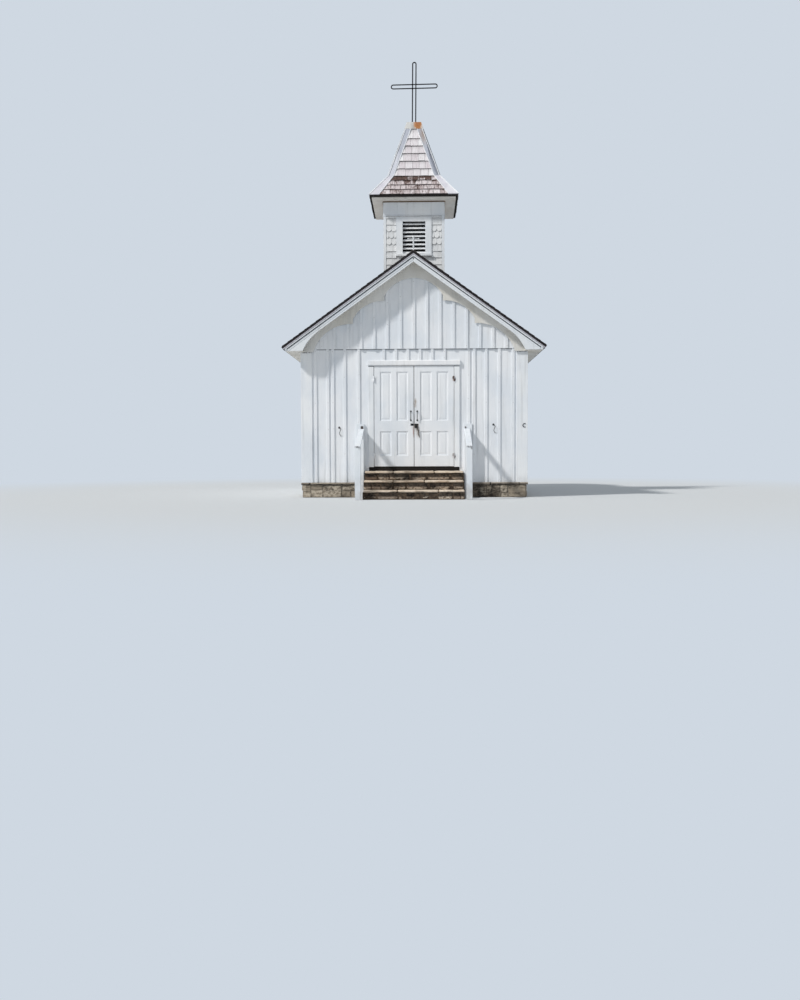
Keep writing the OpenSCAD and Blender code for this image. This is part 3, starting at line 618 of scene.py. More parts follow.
def uneven(rng, start, stop, widths, rest=0.5):
    """(a, b) of parts of random width from start to stop, each drawn when it is asked for."""
    while stop - start > 0.01:
        end = start + rng.uniform(*widths)
        if stop - end < widths[0] * rest:
            end = stop
        yield start, end
        start = end


def even(start, stop, width, shifted):
    """(a, b) of parts of about one width, half a part on where shifted."""
    count = max(2, round((stop - start) / width))
    step = (stop - start) / count
    cuts = [start + step * k for k in range(count + 1)]
    if shifted:
        cuts = [start] + [start + step * (k + 0.5) for k in range(count)] + [stop]
    return zip(cuts, cuts[1:])


def courses(
    piece, place, rows, spans, widths, butt, lap=0.03, gap=0.004, limit=None, bows=(), bow=0.0, floor=None,
):
    """Rows of shingles. rows holds the levels of their feet and the top of the last row."""
    rng = piece.rng
    for row, (low, up) in enumerate(zip(rows, rows[1:])):
        end = up if up == rows[-1] else up + lap
        rounded = row in bows
        for start, stop in spans(low, up):
            if rounded:
                parts = even(start, stop, widths[0] * 1.1, row % 2 == bows[1] % 2)
            else:
                start -= rng.uniform(0, widths[0]) if limit else 0.0
                parts = list(uneven(rng, start, stop, widths))
            for left, right in parts:
                foot = low + (0.0 if rounded else rng.uniform(-0.004, 0.004))
                thick = butt * rng.uniform(0.85, 1.15)
                depth = bow if rounded else 0.0
                shingle(piece, place, left + gap / 2, right - gap / 2, foot, end, thick, limit, depth, floor)


def levels(start, step, end):
    """Feet of the rows from start up, with the end as the last level."""
    rows = []
    while start < end - step * 0.35:
        rows.append(start)
        start += step
    return rows + [end]


def roof_shingles():
    """Both slopes of the main roof and the ridge boards."""
    look = weathered_roof()
    ridge = ROOF_HIGH.z
    run = ROOF_HIGH.y - ROOF_LOW.y - 0.004
    rows = levels(0.02, ROOF_EXPOSURE, hypot(ROOF_TIP.x, ridge - ROOF_TIP.z) - 0.004)
    for side, sign in (("right", 1), ("left", -1)):
        piece = Piece(seed=len(side))
        start = ROOF_LOW.y + 0.002 if sign > 0 else ROOF_HIGH.y - 0.002
        up = (-sign * ROOF_TIP.x, 0, ridge - ROOF_TIP.z)
        place = slope((sign * ROOF_TIP.x, start, ROOF_TIP.z), (0, sign, 0), up)
        courses(piece, place, rows, lambda low, up: [(0.0, run)], (0.09, 0.2), 0.012)
        piece.make(f"{side}_roof_shingles", look)
    caps = Piece(seed=3)
    cap_w = 0.115
    belfry_gap = BELFRY_HALF + 0.03
    runs = ((ROOF_LOW.y + 0.01, BELFRY_Y - belfry_gap), (BELFRY_Y + belfry_gap, ROOF_HIGH.y - 0.01))
    for sign, (y0, y1) in product((1, -1), runs):
        place = slope((0, y1, ridge + 0.004), (-1, 0, sign * ROOF_TAN), (0, -1, 0))
        rows = levels(0.0, ROOF_EXPOSURE, y1 - y0)
        left, right = sorted((0.0, -sign * cap_w))
        for low, up in zip(rows, rows[1:]):
            shingle(caps, place, left, right, low, min(up + 0.03, y1 - y0), 0.016)
    caps.make("ridge_shingles", look)


def barge_strips():
    """A dark strip of painted shadow on the bargeboards under the moulding, and a thin cover board below it.
    """
    covers = Piece(seed=15)
    shadow_strips = Piece(seed=18)
    low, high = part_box("bargeboards")
    top = ROOF_HIGH.z - BARGE_MOULDING * ROOF_SLANT
    start, stop = 0.03, (FASCIA_X - 0.03) * ROOF_SLANT
    board_y = 0.022
    for (y, out), sign in product(((low.y + board_y, -1), (high.y - board_y, 1)), (1, -1)):
        place = slope((0, y, top), (sign, 0, -ROOF_TAN), (sign * ROOF_TAN, 0, 1))
        facing = -sign * out
        # The second strip is the dark one, painted shadow under the moulding
        for piece, foot, head, thick in ((covers, -0.074, -0.042, 0.006), (shadow_strips, -0.04, -0.0225, 0.001)):
            heights = sorted((-0.002 * facing, thick * facing))
            piece.strip(place, (start, foot), (start, head), stop - start, *heights)
    covers.make("bargeboard_covers", LOOKS["barge"], bevel=0.0015)
    shadow_strips.make("bargeboard_shadow_strips", bare_timber("groove_shadow", "x", "5d6168", "46494f"))


def belfry_shingles():
    """Rows of white shingles round the belfry, three of them with rounded feet."""
    piece = Piece(seed=11)
    half = BELFRY_HALF - BELFRY_CORNER - 0.002
    band = BELFRY_TOP - BAND_H
    frame_low, frame_high = solid_boxes("louvre_frames")[0]
    rows = levels(band - 0.05 - 10 * BELFRY_EXPOSURE, BELFRY_EXPOSURE, band)

    def whole(low, up):
        return [(-half, half)]

    def louvred(low, up):
        if low > frame_low.z - 0.08 and up < frame_high.z + 0.02:
            return [(-half, -frame_high.x - 0.001), (frame_high.x + 0.001, half)]
        return whole(low, up)

    for quarter, place in enumerate(four_faces(BELFRY_HALF, 0)):
        plain = quarter % 2 == 1
        courses(
            piece, place, rows, whole if plain else louvred, (0.11, 0.17), 0.018,
            lap=0.05, gap=0.003, bows=(6, 7, 8), bow=0.052,
            floor=lambda a: ROOF_HIGH.z - ROOF_TAN * (BELFRY_HALF if plain else abs(a)),
        )
    look = wooden_shingle("belfry_shingle_paint", "f1f2f3", "e4e6e8", BARE_WOOD, peel=0.05, painted_shade=0.8)
    piece.make("belfry_shingle_rows", look)


def band_boards():
    """Boards of the band under the belfry's eaves, and the brown strip above them."""
    piece = Piece(seed=12)
    brown = Piece(seed=13)
    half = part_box("belfry_trim")[1].x
    low = BELFRY_TOP - BAND_H
    joints = [-half, *BAND_JOINTS, half]
    for place in four_faces(half, 0):
        for x0, x1 in zip(joints, joints[1:]):
            left, width = x0 + 0.0025, x1 - x0 - 0.005
            piece.strip(place, (left, low + 0.026), (left, BELFRY_TOP - 0.004), width, -0.004, 0.006)
        piece.strip(place, (-half, low + 0.001), (-half, low + 0.02), 2 * half, -0.004, 0.012)
        brown.strip(place, (-half, BELFRY_TOP - 0.022), (-half, BELFRY_TOP), 2 * half, -0.004, 0.016)
    piece.make("belfry_band_boards", LOOKS["trim"], bevel=0.0015)
    brown.make("belfry_soffit_strip", bare_timber("strip_wood", "x", "8d7355", "5f4a36"), bevel=0.002)


def louvre_shade_boards():
    """Near-black boards that close the louvred openings from inside, as painted shade inside the belfry."""
    piece = Piece(seed=17)
    slats_low, slats_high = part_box("louvre_slats")
    half = slats_high.x + 0.04
    low, high = slats_low.z - 0.06, slats_high.z + 0.06
    count = 7
    step = (high - low) / count
    thick = 0.012
    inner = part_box("belfry_front")[1].y
    for y, k in product((inner, 2 * BELFRY_Y - inner - thick), range(count)):
        foot = low + k * step
        piece.block((-half, y, foot + 0.001), (half, y + thick, foot + step - 0.001))
    piece.make("belfry_shade_boards", bare_timber("screen_painted_shade", "x", "151413", "0b0b0b"), bevel=0.001)


def spire_faces():
    """Steep faces, then flare: name, low half, high half, high z, width of the hips' foot, length, places."""
    (low, high), eave_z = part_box("spire"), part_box("spire_flare")[0].z
    foot_z = min(v.co.z for v in NODES["spire_flare"].data.vertices if v.co.z > eave_z + 0.001)
    break_half = half_at("spire", low.z)
    for name, low_half, low_z, high_half, high_z, foot_w in (
        ("spire", break_half, low.z, half_at("spire", high.z), high.z, HIP_W),
        ("flare", half_at("spire_flare", eave_z), foot_z, break_half, low.z, HIP_FOOT_W),
    ):
        up = (0, low_half - high_half, high_z - low_z)
        yield name, low_half, high_half, high_z, foot_w, hypot(*up), four_faces(low_half, low_z, up)


def spire_shingles():
    """White shingles on the steep faces, and weathered ones on the flared foot."""
    for name, low_half, high_half, high_z, foot_w, length, places in spire_faces():
        narrowing = low_half - high_half + HIP_W - foot_w

        def limit(s):
            return low_half - foot_w - narrowing * s / length + 0.004

        def whole(low, up):
            return [(-limit(low), limit(low))]

        if name == "spire":
            rows = [0.0] + levels(SPIRE_EXPOSURE - 0.012, SPIRE_EXPOSURE, length)
            widths, gap = (0.11, 0.17), 0.004
            look = wooden_shingle("spire_shingle_paint", "f1eff1", "dfd8dc", "a8989a", peel=0.13)
        else:
            rows = levels(0.004, FLARE_EXPOSURE, length - 0.02)[:-1] + [length]
            widths, gap = (0.085, 0.15), 0.006
            spots = [
                ((0.0, BELFRY_Y, high_z - 0.04), (9.0, 9.0, 0.18), 0.29),
                ((0.03, BELFRY_Y - low_half, high_z - 0.1), (0.16, 0.6, 0.36), 0.3),
            ]
            look = wooden_shingle(
                "flare_shingle_paint", "e6dfe1", "bfb1b1", "66504a", peel=0.31, spots=spots, deep="4b3f39",
            )
        piece = Piece(seed=len(name))
        for place in places:
            courses(piece, place, rows, whole, widths, 0.022, gap=gap, limit=limit)
        piece.make(f"{name}_shingle_rows", look)


def hip_lips():
    """Raised lips along both edges of the boards on the spire's hips."""
    piece = Piece(seed=14)
    edge = LIP_W - 0.004
    for _, low_half, high_half, _, foot_w, length, places in spire_faces():
        for place, (low_in, high_in) in product(places, ((foot_w, HIP_W), (edge, edge))):
            low, high = low_half - low_in, high_half - high_in
            for start, stop in ((low, high), (-low - LIP_W, -high - LIP_W)):
                ends = (start, 0.004), (stop, length - 0.004)
                piece.strip(place, *ends, LIP_W, HIP_T - 0.004, HIP_T + 0.009)
    piece.make("hip_lips", LOOKS["trim"], bevel=0.002)


def finial_arms():
    """Two short arms with knobs under the ball of the ridge finial."""
    piece = Piece(seed=16)
    low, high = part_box("ridge_finial")
    y, level, reach = (low.y + high.y) / 2, high.z - 0.062, 0.105
    piece.rod([(-reach, y, level), (reach, y, level)], 0.006)
    for x in (-reach, reach):
        ring = [(x, y, level + dz) for dz in (-0.014, -0.009, 0.0, 0.009, 0.014)]
        for a, b, radius in zip(ring, ring[1:], (0.009, 0.015, 0.015, 0.009)):
            piece.rod([a, b], radius, sides=12)
    piece.make("finial_arms", LOOKS["finial"], smooth=40)


def stone(piece, low, high, rough, square, cell=0.06):
    """A worn block that fills a box: rounded corners and an uneven face."""
    low, high = Vector(low), Vector(high)
    centre, half = (low + high) / 2, (high - low) / 2
    counts = [max(2, min(8, round(2 * h / cell))) for h in half]
    keys = {}
    points, faces = [], []
    shift = Vector([piece.rng.uniform(0, 30) for _ in range(3)])

    def corner(*key):
        if key not in keys:
            keys[key] = len(points)
            u = Vector([2 * n / c - 1 for n, c in zip(key, counts)])
            scale = sum(abs(c) ** square for c in u) ** (-1 / square)
            p = Vector([c * scale * h for c, h in zip(u, half)])
            push = noise.noise_vector((p + shift) * 7.0) + 0.5 * noise.noise_vector((p + shift) * 19.0)
            worn = centre + p + push * rough
            worn.z = max(worn.z, 0.0)
            points.append(worn)
        return keys[key]

    for a, b, fixed in ((0, 1, 2), (1, 2, 0), (2, 0, 1)):
        for level, i, j in product((0, counts[fixed]), range(counts[a]), range(counts[b])):
            quad = []
            for di, dj in ((0, 0), (1, 0), (1, 1), (0, 1)):
                key = [0, 0, 0]
                key[a], key[b], key[fixed] = i + di, j + dj, level
                quad.append(corner(*key))
            faces.append(quad if level else quad[::-1])
    piece.add(points, faces)


def stone_run(piece, along, face, sign, start, stop, low, high, split, sizes, proud, *form):
    """Rubble in a face along X or Y, proud of it, in bays of which this share is split."""
    rng = piece.rng
    deep = 0.05
    for a, b in uneven(rng, start, stop, sizes, 0.6):
        cuts = [low, high]
        if rng.random() < split:
            cuts.insert(1, low + (high - low) * rng.uniform(0.32, 0.68))
        for z0, z1 in zip(cuts, cuts[1:]):
            joints = [a, b]
            if len(cuts) == 3 and rng.random() < 0.6:
                joints.insert(1, a + (b - a) * rng.uniform(0.35, 0.65))
            for a0, a1 in zip(joints, joints[1:]):
                depths = sorted((face - sign * deep, face + sign * rng.uniform(*proud)))
                spans = [(a0 + 0.003, a1 - 0.003), depths]
                if along == "y":
                    spans.reverse()
                stone(piece, *zip(*spans, (z0 + 0.002, z1 - 0.002)), *form)


def foundation_stones():
    """Coursed rubble round the foundation, proud of its mortar."""
    piece = Piece(seed=31)

    def wall(along, face, sign, start, stop, cell=0.06):
        sizes, proud = (0.16, 0.4), (0.006, 0.024)
        stone_run(piece, along, face, sign, start, stop, 0.0, STONE_TOP, 0.85, sizes, proud, 0.009, 9.0, cell)

    wall("x", FRONT, -1, -HALF, -STEP_HALF - 0.01, 0.045)
    wall("x", FRONT, -1, STEP_HALF + 0.01, HALF, 0.045)
    wall("x", BACK, 1, -HALF, HALF)
    for sign in (1, -1):
        wall("y", sign * HALF, sign, FRONT + 0.01, BACK - 0.01)
    # Darker patches by the steps: the two on the right are painted shadow of the steps and the right post,
    # also given to the mortar; the one on the left is only darker
    damp = [
        ((1.3, FRONT, 0.1), (0.42, 0.5, 0.5), 1.0), ((1.55, FRONT, 0.1), (0.36, 0.5, 0.5), 1.0),
        ((-1.3, FRONT, 0.16), (0.4, 0.4, 0.12), 0.5),
    ]
    look = stony("rubble_stone", "c8bdac", "8f8475", "241f1b", 15.0, stained=0.7, spots=damp)
    piece.make("foundation_rubble", look, smooth=50)
    mortar = stony("mortar", "8f877b", "6d665d", "2c2926", 20.0, relief=0.006, spots=damp[:2])
    dress(mortar, "foundation_ends", "foundation_sides")


def ledge_stones():
    """Dressed slabs of the ledge under the walls."""
    piece = Piece(seed=32)
    inner = 0.14
    lengths = (0.6, 1.1)
    joint = 0.002

    def lay(x0, x1, y0, y1):
        stone(piece, (x0, y0, STONE_TOP + 0.001), (x1, y1, WALL_FOOT - 0.002), 0.0035, 26.0, 0.09)

    for sign in (1, -1):
        xs = sorted((sign * (HALF - inner), sign * (HALF + LEDGE_OUT)))
        for y0, y1 in uneven(piece.rng, FRONT - LEDGE_OUT, BACK + LEDGE_OUT, lengths):
            lay(*xs, y0 + joint, y1 - joint)
    for y0, y1 in ((FRONT - LEDGE_OUT, FRONT + inner), (BACK - inner, BACK + LEDGE_OUT)):
        for x0, x1 in uneven(piece.rng, inner - HALF, HALF - inner, lengths):
            lay(x0 + joint, x1 - joint, y0, y1)
    # The ledge's face darkens below its lit top edge: painted shade, together with a real stain
    painted_shade = [(STONE_TOP - 0.04, WALL_FOOT - 0.017, 0.95)]
    look = stony("ledge_stone", "cdc2b0", "a0968a", "2b2723", 9.0, relief=0.005, stained=0.35, painted_shade=painted_shade)
    piece.make("ledge_slabs", look, smooth=40, replaces=["foundation_ledge"])


def step_stones():
    """Thin stones on the risers and sides of the steps, and worn slabs on top."""
    risers = Piece(seed=41)
    slabs = Piece(seed=42)
    steps = ("step_1", "step_2", "step_3")
    for name in steps:
        low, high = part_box(name)
        front = (low.z, high.z, 0.15, (0.13, 0.5), (0.0, 0.02), 0.015, 5.0, 0.035)
        side = (low.z, high.z, 0.4, (0.2, 0.46), (0.002, 0.010), 0.004, 6.0, 0.07)
        stone_run(risers, "x", low.y, -1, low.x, high.x, *front)
        for sign in (1, -1):
            stone_run(risers, "y", sign * high.x, sign, low.y + 0.01, high.y, *side)
    for low, high in solid_boxes("step_slabs"):
        cuts = [low.x, low.x + slabs.rng.uniform(0.55, 0.75), high.x - slabs.rng.uniform(0.5, 0.8), high.x]
        for x0, x1 in zip(cuts, cuts[1:]):
            low_corner = (x0 + 0.001, low.y + 0.002, low.z + 0.001)
            stone(slabs, low_corner, (x1 - 0.001, high.y, high.z - 0.003), 0.008, 18.0, 0.04)
    feet = SLAB_LEVELS[::2]
    # Painted shadow on the risers' upper parts, under the slabs' nosings
    painted_shade = [(foot - 0.095, foot + 0.006, 0.97) for foot in feet]
    spots = [
        ((-0.1, FRONT - 0.5, 0.43), (0.3, 0.7, 0.2), 0.95), ((0.35, FRONT - 0.7, 0.25), (0.3, 0.6, 0.1), 0.6),
    ]
    look = stony("step_stone", "d3c5b3", "6d5d50", "14110f", 24.0, stained=0.95, painted_shade=painted_shade, spots=spots)
    risers.make("step_risers", look, smooth=50)
    # Painted shade on the slabs' lower edges
    under = [(foot - 0.03, foot + 0.012, 0.6) for foot in feet]
    worn = stony("slab_stone", "e9dccb", "cdbba7", "3e352d", 9.0, 0.006, 0.45, under, spots[:1])
    slabs.make("worn_slabs", worn, smooth=40, replaces=["step_slabs"])
    dress(stony("step_mortar", "5b4e42", "3a322b", "1f1b18", 20.0), *steps)


def panel(piece, x0, x1, z0, z1, face, inward):
    """A moulded panel: the nested rectangles of MOULDING and the field in the middle."""
    points = []
    for inset, depth in MOULDING:
        left, right, low, high = x0 + inset, x1 - inset, z0 + inset, z1 - inset
        y = face + inward * depth
        points += [(left, y, low), (right, y, low), (right, y, high), (left, y, high)]
    last = len(points) - 4
    ring = [(k, (k + 1) % 4, (k + 1) % 4 + 4, k + 4) for k in range(4)]
    faces = [tuple(first + i for i in face) for first in range(0, last, 4) for face in ring]
    faces.append(tuple(range(last, last + 4)))
    piece.add(points, [f[::inward] for f in faces])


def door_leaf(sign, name, body):
    """One leaf: boards of stiles, rails and muntin, with moulded panels on both faces."""
    boards = Piece(seed=51 + sign)
    panels = Piece(seed=61 + sign)
    (x0, y0, z0), (x1, y1, z1) = LEAF_LOW, LEAF_HIGH
    muntin0, muntin1 = (x0 + x1) / 2 - MUNTIN / 2, (x0 + x1) / 2 + MUNTIN / 2

    def board(a0, a1, low, high):
        left, right = sorted((sign * a0, sign * a1))
        boards.block((left, y0, low), (right, y1, high))

    board(x0, x0 + STILE, z0, z1)
    board(x1 - STILE, x1, z0, z1)
    low_rail, lock_low = z0 + BOTTOM_RAIL, z0 + BOTTOM_RAIL + LOW_PANEL
    lock_high, head = lock_low + LOCK_RAIL, z1 - TOP_RAIL
    for low, high in ((z0, low_rail), (lock_low, lock_high), (head, z1)):
        board(x0 + STILE, x1 - STILE, low, high)
    for low, high in ((low_rail, lock_low), (lock_high, head)):
        board(muntin0, muntin1, low, high)
        for a0, a1 in ((x0 + STILE, muntin0), (muntin1, x1 - STILE)):
            left, right = sorted((sign * a0, sign * a1))
            for face, inward in ((y0, 1), (y1, -1)):
                panel(panels, left, right, low, high, face, inward)
    boards.make(f"{name}_boards", LOOKS["door"], body, bevel=0.0018, replaces=[name])
    panels.make(f"{name}_panels", LOOKS["door"], body)


def nails():
    """Nail heads down the battens of all four walls."""
    piece = Piece(seed=71)
    for node in ("front_battens", "back_battens", "side_battens"):
        for low, high in solid_boxes(node):
            centre = (low + high) / 2
            sign = 1 if centre.x > 0 else -1
            if node == "front_battens":
                origin, across = (centre.x, low.y, 0), (1, 0, 0)
            elif node == "back_battens":
                origin, across = (centre.x, high.y, 0), (-1, 0, 0)
            else:
                origin, across = (high.x if sign > 0 else low.x, centre.y, 0), (0, sign, 0)
            face = slope(origin, across, (0, 0, 1))
            count = max(1, round((high.z - low.z) / 0.5))
            for k in range(count + 1):
                z = low.z + 0.05 + (high.z - low.z - 0.1) * k / count
                aside = piece.rng.uniform(-0.008, 0.008)
                piece.dome(face, aside, z + piece.rng.uniform(-0.015, 0.015), 0.0045, 0.0003, 0.0022)
    piece.make("batten_nails", iron("nail_iron", "8d8a86", 0.9))


def hinge_screws():
    """Screw heads on the hinge plates."""
    face = slope((0, LEAF_LOW.y, 0), (1, 0, 0), (0, 0, 1))
    for body, sign in (("left_leaf", -1), ("right_leaf", 1)):
        piece = Piece(seed=98)
        for low, high in solid_boxes("right_door_fittings"):
            if high.z - low.z <= 0.12:
                for z in (low.z + 0.012, high.z - 0.012):
                    piece.dome(face, sign * (high.x - 0.036), z, 0.004, 0.0042, 0.0058)
        piece.make(f"{body}_hinge_screws", LOOKS["iron"], body)


def floor_planks():
    """Floor boards that run from front to back."""
    low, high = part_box("floor")
    piece = Piece(seed=81)
    count = 30
    width = (high.x - low.x) / count
    for k in range(count):
        left = low.x + k * width
        cut = piece.rng.uniform(1.5, high.y - low.y - 1.5) + low.y
        for y0, y1 in ((low.y, cut - 0.001), (cut + 0.001, high.y)):
            piece.block((left + 0.001, y0, low.z), (left + width - 0.001, y1, high.z))
    look = bare_timber("floor_wood", "y", "8a6f52", "5c4634")
    piece.make("floor_planks", look, bevel=0.0012, replaces=["floor"])


def wall_hooks():
    """Small iron hooks on the front wall, and an open eye on the right corner board."""
    piece = Piece(seed=91)
    for x, z, tall in ((-1.51, 1.35, 0.2), (1.635, 1.4, 0.19)):
        path = []
        for t in (k / 16 for k in range(17)):
            bend = sin(2 * pi * t) * 0.022
            lift = 0.04 * sin(pi * t) ** 2 + (0.02 if t < 0.1 else 0.0)
            path.append((x + bend + 0.045 * (t - 0.5), FRONT - 0.008 - lift, z + tall * (0.5 - t)))
        piece.rod(path, 0.0055)
        piece.block((x - 0.038, FRONT - 0.004, z + 0.06), (x - 0.006, FRONT, z + 0.095))
    x, y, z = HALF - 0.04, FRONT - 0.031, 1.46
    turns = [radians(50 + 28 * k) for k in range(10)]
    piece.rod([(x + 0.034 * cos(t), y, z + 0.036 * sin(t)) for t in turns], 0.0075)
    piece.make("wall_hooks", iron("hook_iron", "37383c", 0.4), smooth=40)


def lock_chain():
    """Short chain that hangs from the padlock's shackle, on the right leaf."""
    piece = Piece(seed=95)
    low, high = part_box("door_lock")
    top = Vector(((low.x + high.x) / 2 + 0.016, LEAF_LOW.y - 0.012, low.z + 0.055))
    links, step, points = 12, 0.021, 14
    for k in range(links):
        centre = top + Vector((0.0035 * k + 0.004 * sin(k * 1.3), -0.002, -step * k))
        turn = Matrix.Rotation(radians(90 * (k % 2) + 20), 3, "Z")
        turns = [2 * pi * n / points for n in range(points)]
        loop = [centre + turn @ Vector((0.011 * cos(t), 0, 0.0165 * sin(t))) for t in turns]
        piece.rod(loop, 0.0034, sides=6, closed=True)
    piece.make("lock_chain", iron("chain_iron", "5f574d", 0.6), "right_leaf", smooth=40)


def rail_straps_and_shadow():
    """Iron straps on the wall plates, beside the upper ends of the handrails. The dark one on the left also
    stands as painted shadow of the rail on its plate.
    """
    piece = Piece(seed=97)
    plate_y = FRONT - 0.045
    # Left strap: where the rail's shadow falls on the plate, so partly painted shadow
    piece.block((-1.088, plate_y - 0.004, 1.27), (-1.036, plate_y, 1.455))
    piece.block((1.033, plate_y - 0.012, 1.41), (1.06, plate_y, 1.44))
    piece.make("rail_straps_and_shadow", iron("strap_and_shadow_iron", "4f4845", 0.3), bevel=0.0008)


def studio():
    """Pale floor and backdrop, one soft key light from the front left, and an even fill."""
    size = 90.0
    mesh = bpy.data.meshes.new("studio_floor")
    corners = [(x * size, y * size, -0.002) for x, y in ((-1, -1), (1, -1), (1, 1), (-1, 1))]
    mesh.from_pydata(corners, [], [(0, 1, 2, 3)])
    shown("studio_floor", mesh)
    look = Look("studio_floor", 0.9, 0.1)
    look.feed(look.shader.inputs["Base Color"], linear("d3d6d8"))
    glow = look.node("Emission", linear(BACKDROP)).outputs[0]
    far = look.ramp(look.vector("LENGTH", look.place), 7.0, 17.0)
    look.show("Material Output", look.times(far, look.seen_rays()), look.shader.outputs[0], glow)
    mesh.materials.append(look.material)

    world = bpy.data.worlds.new("studio")
    bpy.context.scene.world = world
    tree = Tree(world)
    fill = tree.nodes["Background"]
    fill.inputs["Color"].default_value = (0.88, 0.94, 1.0, 1.0)
    fill.inputs["Strength"].default_value = 0.45
    seen = tree.node("Background", linear(BACKDROP)).outputs[0]
    tree.show("World Output", tree.seen_rays(), fill.outputs[0], seen)

    key = bpy.data.lights.new("key", "SUN")
    key.energy = 2.62
    key.angle = radians(5)
    key.color = (1.0, 0.975, 0.94)
    lamp = shown("key", key)
    lamp.rotation_mode = "QUATERNION"
    lamp.rotation_quaternion = Vector((0.64, 0.40, -0.655)).to_track_quat("-Z", "Y")


def photograph_camera():
    """The photograph's view: low, from 19 metres in front, pitched down a little."""
    lens = bpy.data.cameras.new("camera")
    lens.lens = 33.77
    lens.sensor_width = 36.0
    camera = shown("camera", lens)
    yaw, pitch, roll = 1.515, 90 - 2.70, -0.20
    view = Matrix.Translation((0.2154, FRONT - 19.2, 0.85))
    for degrees, axis in ((yaw, "Z"), (pitch, "X"), (roll, "Z")):
        view @= Matrix.Rotation(radians(degrees), 4, axis)
    camera.matrix_world = view
    bpy.context.scene.camera = camera


def return_shadows():
    """Painted shadow at the tops of the corner boards, under the returns of the eaves."""
    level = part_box("corner_boards")[1].z - 0.004
    return [
        ((sign * (HALF - 0.1), y, level), (0.2, 0.06, 0.022), "3b3d41", 0.9)
        for sign in (1, -1) for y in (FRONT - 0.025, BACK + 0.025)
    ]


def rail_marks():
    """Dark marks where the front ends of the handrails meet their posts."""
    marks = []
    for low, high in solid_boxes("handrails"):
        marks += [
            (((low.x + high.x) / 2, low.y, low.z + 0.018), (0.1, 0.03, 0.032), RAIL_END_DARK, 1.0),
            ((high.x - 0.014, low.y, low.z - 0.012), (0.032, 0.03, 0.045), RAIL_END_DARK, 1.0),
        ]
    return marks


def door_marks():
    """Brown wear on the meeting stiles and rust by the hinges, for the doors' paint."""
    low, high = LEAF_LOW, LEAF_HIGH
    marks = [
        ((0.022, low.y, 1.92), (0.055, 0.05, 0.22), "93806b", 0.85),
        ((-0.008, low.y, 1.33), (0.03, 0.05, 0.17), "a0614a", 0.8),
        ((0.03, low.y, 1.45), (0.12, 0.05, 0.14), "a89684", 0.7),
        ((0.08, low.y, 1.33), (0.07, 0.05, 0.16), "a09488", 0.7),
    ]
    for sign, low_share, high_share in ((1, 0.5, 0.9), (-1, 0.2, 0.25)):
        for z, share in ((low.z + 0.205, low_share), (high.z - 0.27, high_share)):
            marks.append(((sign * (high.x - 0.012), low.y, z), (0.022, 0.05, 0.07), RUST, share))
    return marks


# Boxes in which the walls show bare wood
ROOM = ((0.05 - HALF, FRONT + 0.05, 0.0), (HALF - 0.05, BACK - 0.05, ROOF_HIGH.z))
CORE = BELFRY_HALF - 0.012
BELFRY_ROOM = ((-CORE, BELFRY_Y - CORE, 0.0), (CORE, BELFRY_Y + CORE, BELFRY_TOP + 1.0))
PAINTS = {
    # The siding's band is painted shade under the gable's drip, the casing's painted shadow under the door
    # cap
    "siding": dict(damp=0.3, worn=0.45, room=ROOM, shade_lines=[(GABLE_FOOT - 0.02, GABLE_FOOT)]),
    # The belfry's inside is bare wood made near-black, as painted shade seen through the louvres
    "belfry": dict(worn=0.3, room=BELFRY_ROOM, inner="2e2722"),
    "batten": dict(coat="f0f2f5", damp=0.3, worn=0.6),
    "trim": dict(coat="f0f2f4", damp=0.25, worn=0.4, spots=return_shadows()),
    "cross_trim": dict(along="x", coat="f3f3f4", worn=0.4),
    "barge": dict(along="x", coat="e4e7ea"),
    "casing": dict(coat="f0f2f4", worn=0.4, shade_lines=[(CAP_FOOT - 0.026, CAP_FOOT)]),
    "soffit": dict(along="y", coat=CREAM, other=CREAM_SHADE, worn=0.3),
    "spire_soffit": dict(along="y", coat="f4f0ea", other="e9e3da", worn=0.1),
    "frieze": dict(coat="e4e3e0", other="dad7d0", worn=0.35),
    "door": dict(worn=0.25, spots=door_marks()),
    "rail": dict(coat="e9edf1", other="dde3e9", worn=0.6, damp=0.5, spots=rail_marks()),
    "finial": dict(coat="eceef0", other="d3d7da", worn=0.6),
}
LOOKS = {name: painted(f"{name}_paint", **options) for name, options in PAINTS.items()}
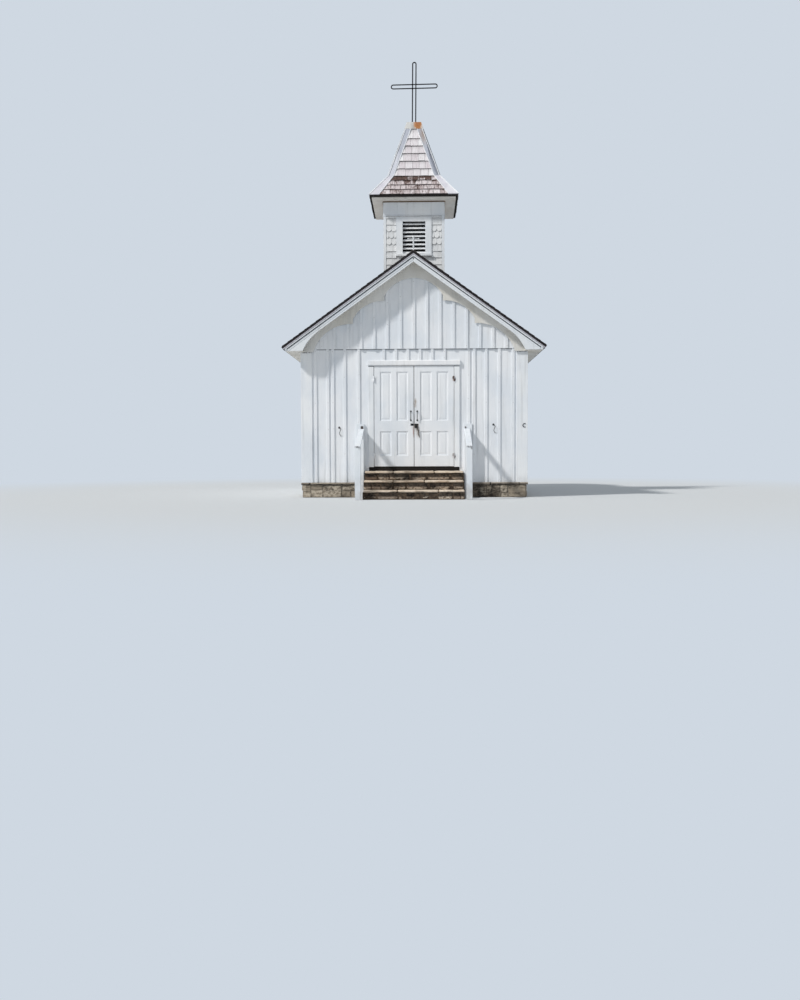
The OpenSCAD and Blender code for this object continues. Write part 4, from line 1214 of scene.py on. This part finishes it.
LOOKS.update(
    hip=hip_look(), hinge=hinge_look(), roof=roof_deck(), cap=cap_look(),
    iron=iron("door_iron", "141416", 0.3), cross=iron("cross_iron", "0e1016", 0.1),
    sill=bare_timber("sill_wood", "x", "1f1b18", "100e0d"),
    # The flare's edge is near-black: painted shade on the butts and underside at the eave
    flare=wooden_shingle("flare_edge_shade", "1d1a19", "141211", "141211", peel=0.2),
    spire=wooden_shingle("spire_core", "5a504a", "3a332f", "3a332f", peel=0.2),
)
# CAD nodes that show as they are: their look, the rounding of their edges, and their names
DRESSED = [
    ("siding", 0.0, "front_wall_left front_wall_right front_wall_over_door front_gable"),
    ("siding", 0.0, "back_wall back_gable left_wall right_wall"),
    ("belfry", 0.0, "belfry_front belfry_back belfry_sides"),
    ("batten", 0.003, "front_battens back_battens side_battens"),
    ("trim", 0.003, "corner_boards belfry_trim louvre_frames"),
    ("casing", 0.003, "door_casing"),
    ("cross_trim", 0.0025, "door_cap louvre_slats"),
    ("barge", 0.002, "bargeboards"),
    ("soffit", 0.002, "eave_boxes"),
    ("spire_soffit", 0.002, "belfry_soffit"),
    ("frieze", 0.003, "gable_friezes"),
    ("rail", 0.004, "handrails handrail_posts"),
    ("hip", 0.002, "hip_boards"),
    ("finial", 0.002, "ridge_finial"),
    ("hinge", 0.001, "jamb_hinges left_door_fittings right_door_fittings"),
    ("iron", 0.001, "door_lock"),
    ("cross", 0.0, "cross"),
    ("roof", 0.0, "roof_left roof_right"),
    ("flare", 0.0, "spire_flare"),
    ("spire", 0.0, "spire"),
    ("cap", 0.003, "spire_cap"),
    ("sill", 0.004, "door_sill"),
]

for look_name, width, nodes in DRESSED:
    dress(LOOKS[look_name], *nodes.split(), bevel=width)
roof_shingles()
barge_strips()
belfry_shingles()
band_boards()
louvre_shade_boards()
spire_shingles()
hip_lips()
finial_arms()
foundation_stones()
ledge_stones()
step_stones()
door_leaf(-1, "left_door", "left_leaf")
door_leaf(1, "right_door", "right_leaf")
nails()
floor_planks()
wall_hooks()
lock_chain()
rail_straps_and_shadow()
hinge_screws()
studio()
photograph_camera()

bpy.context.scene.view_settings.view_transform = "Standard"
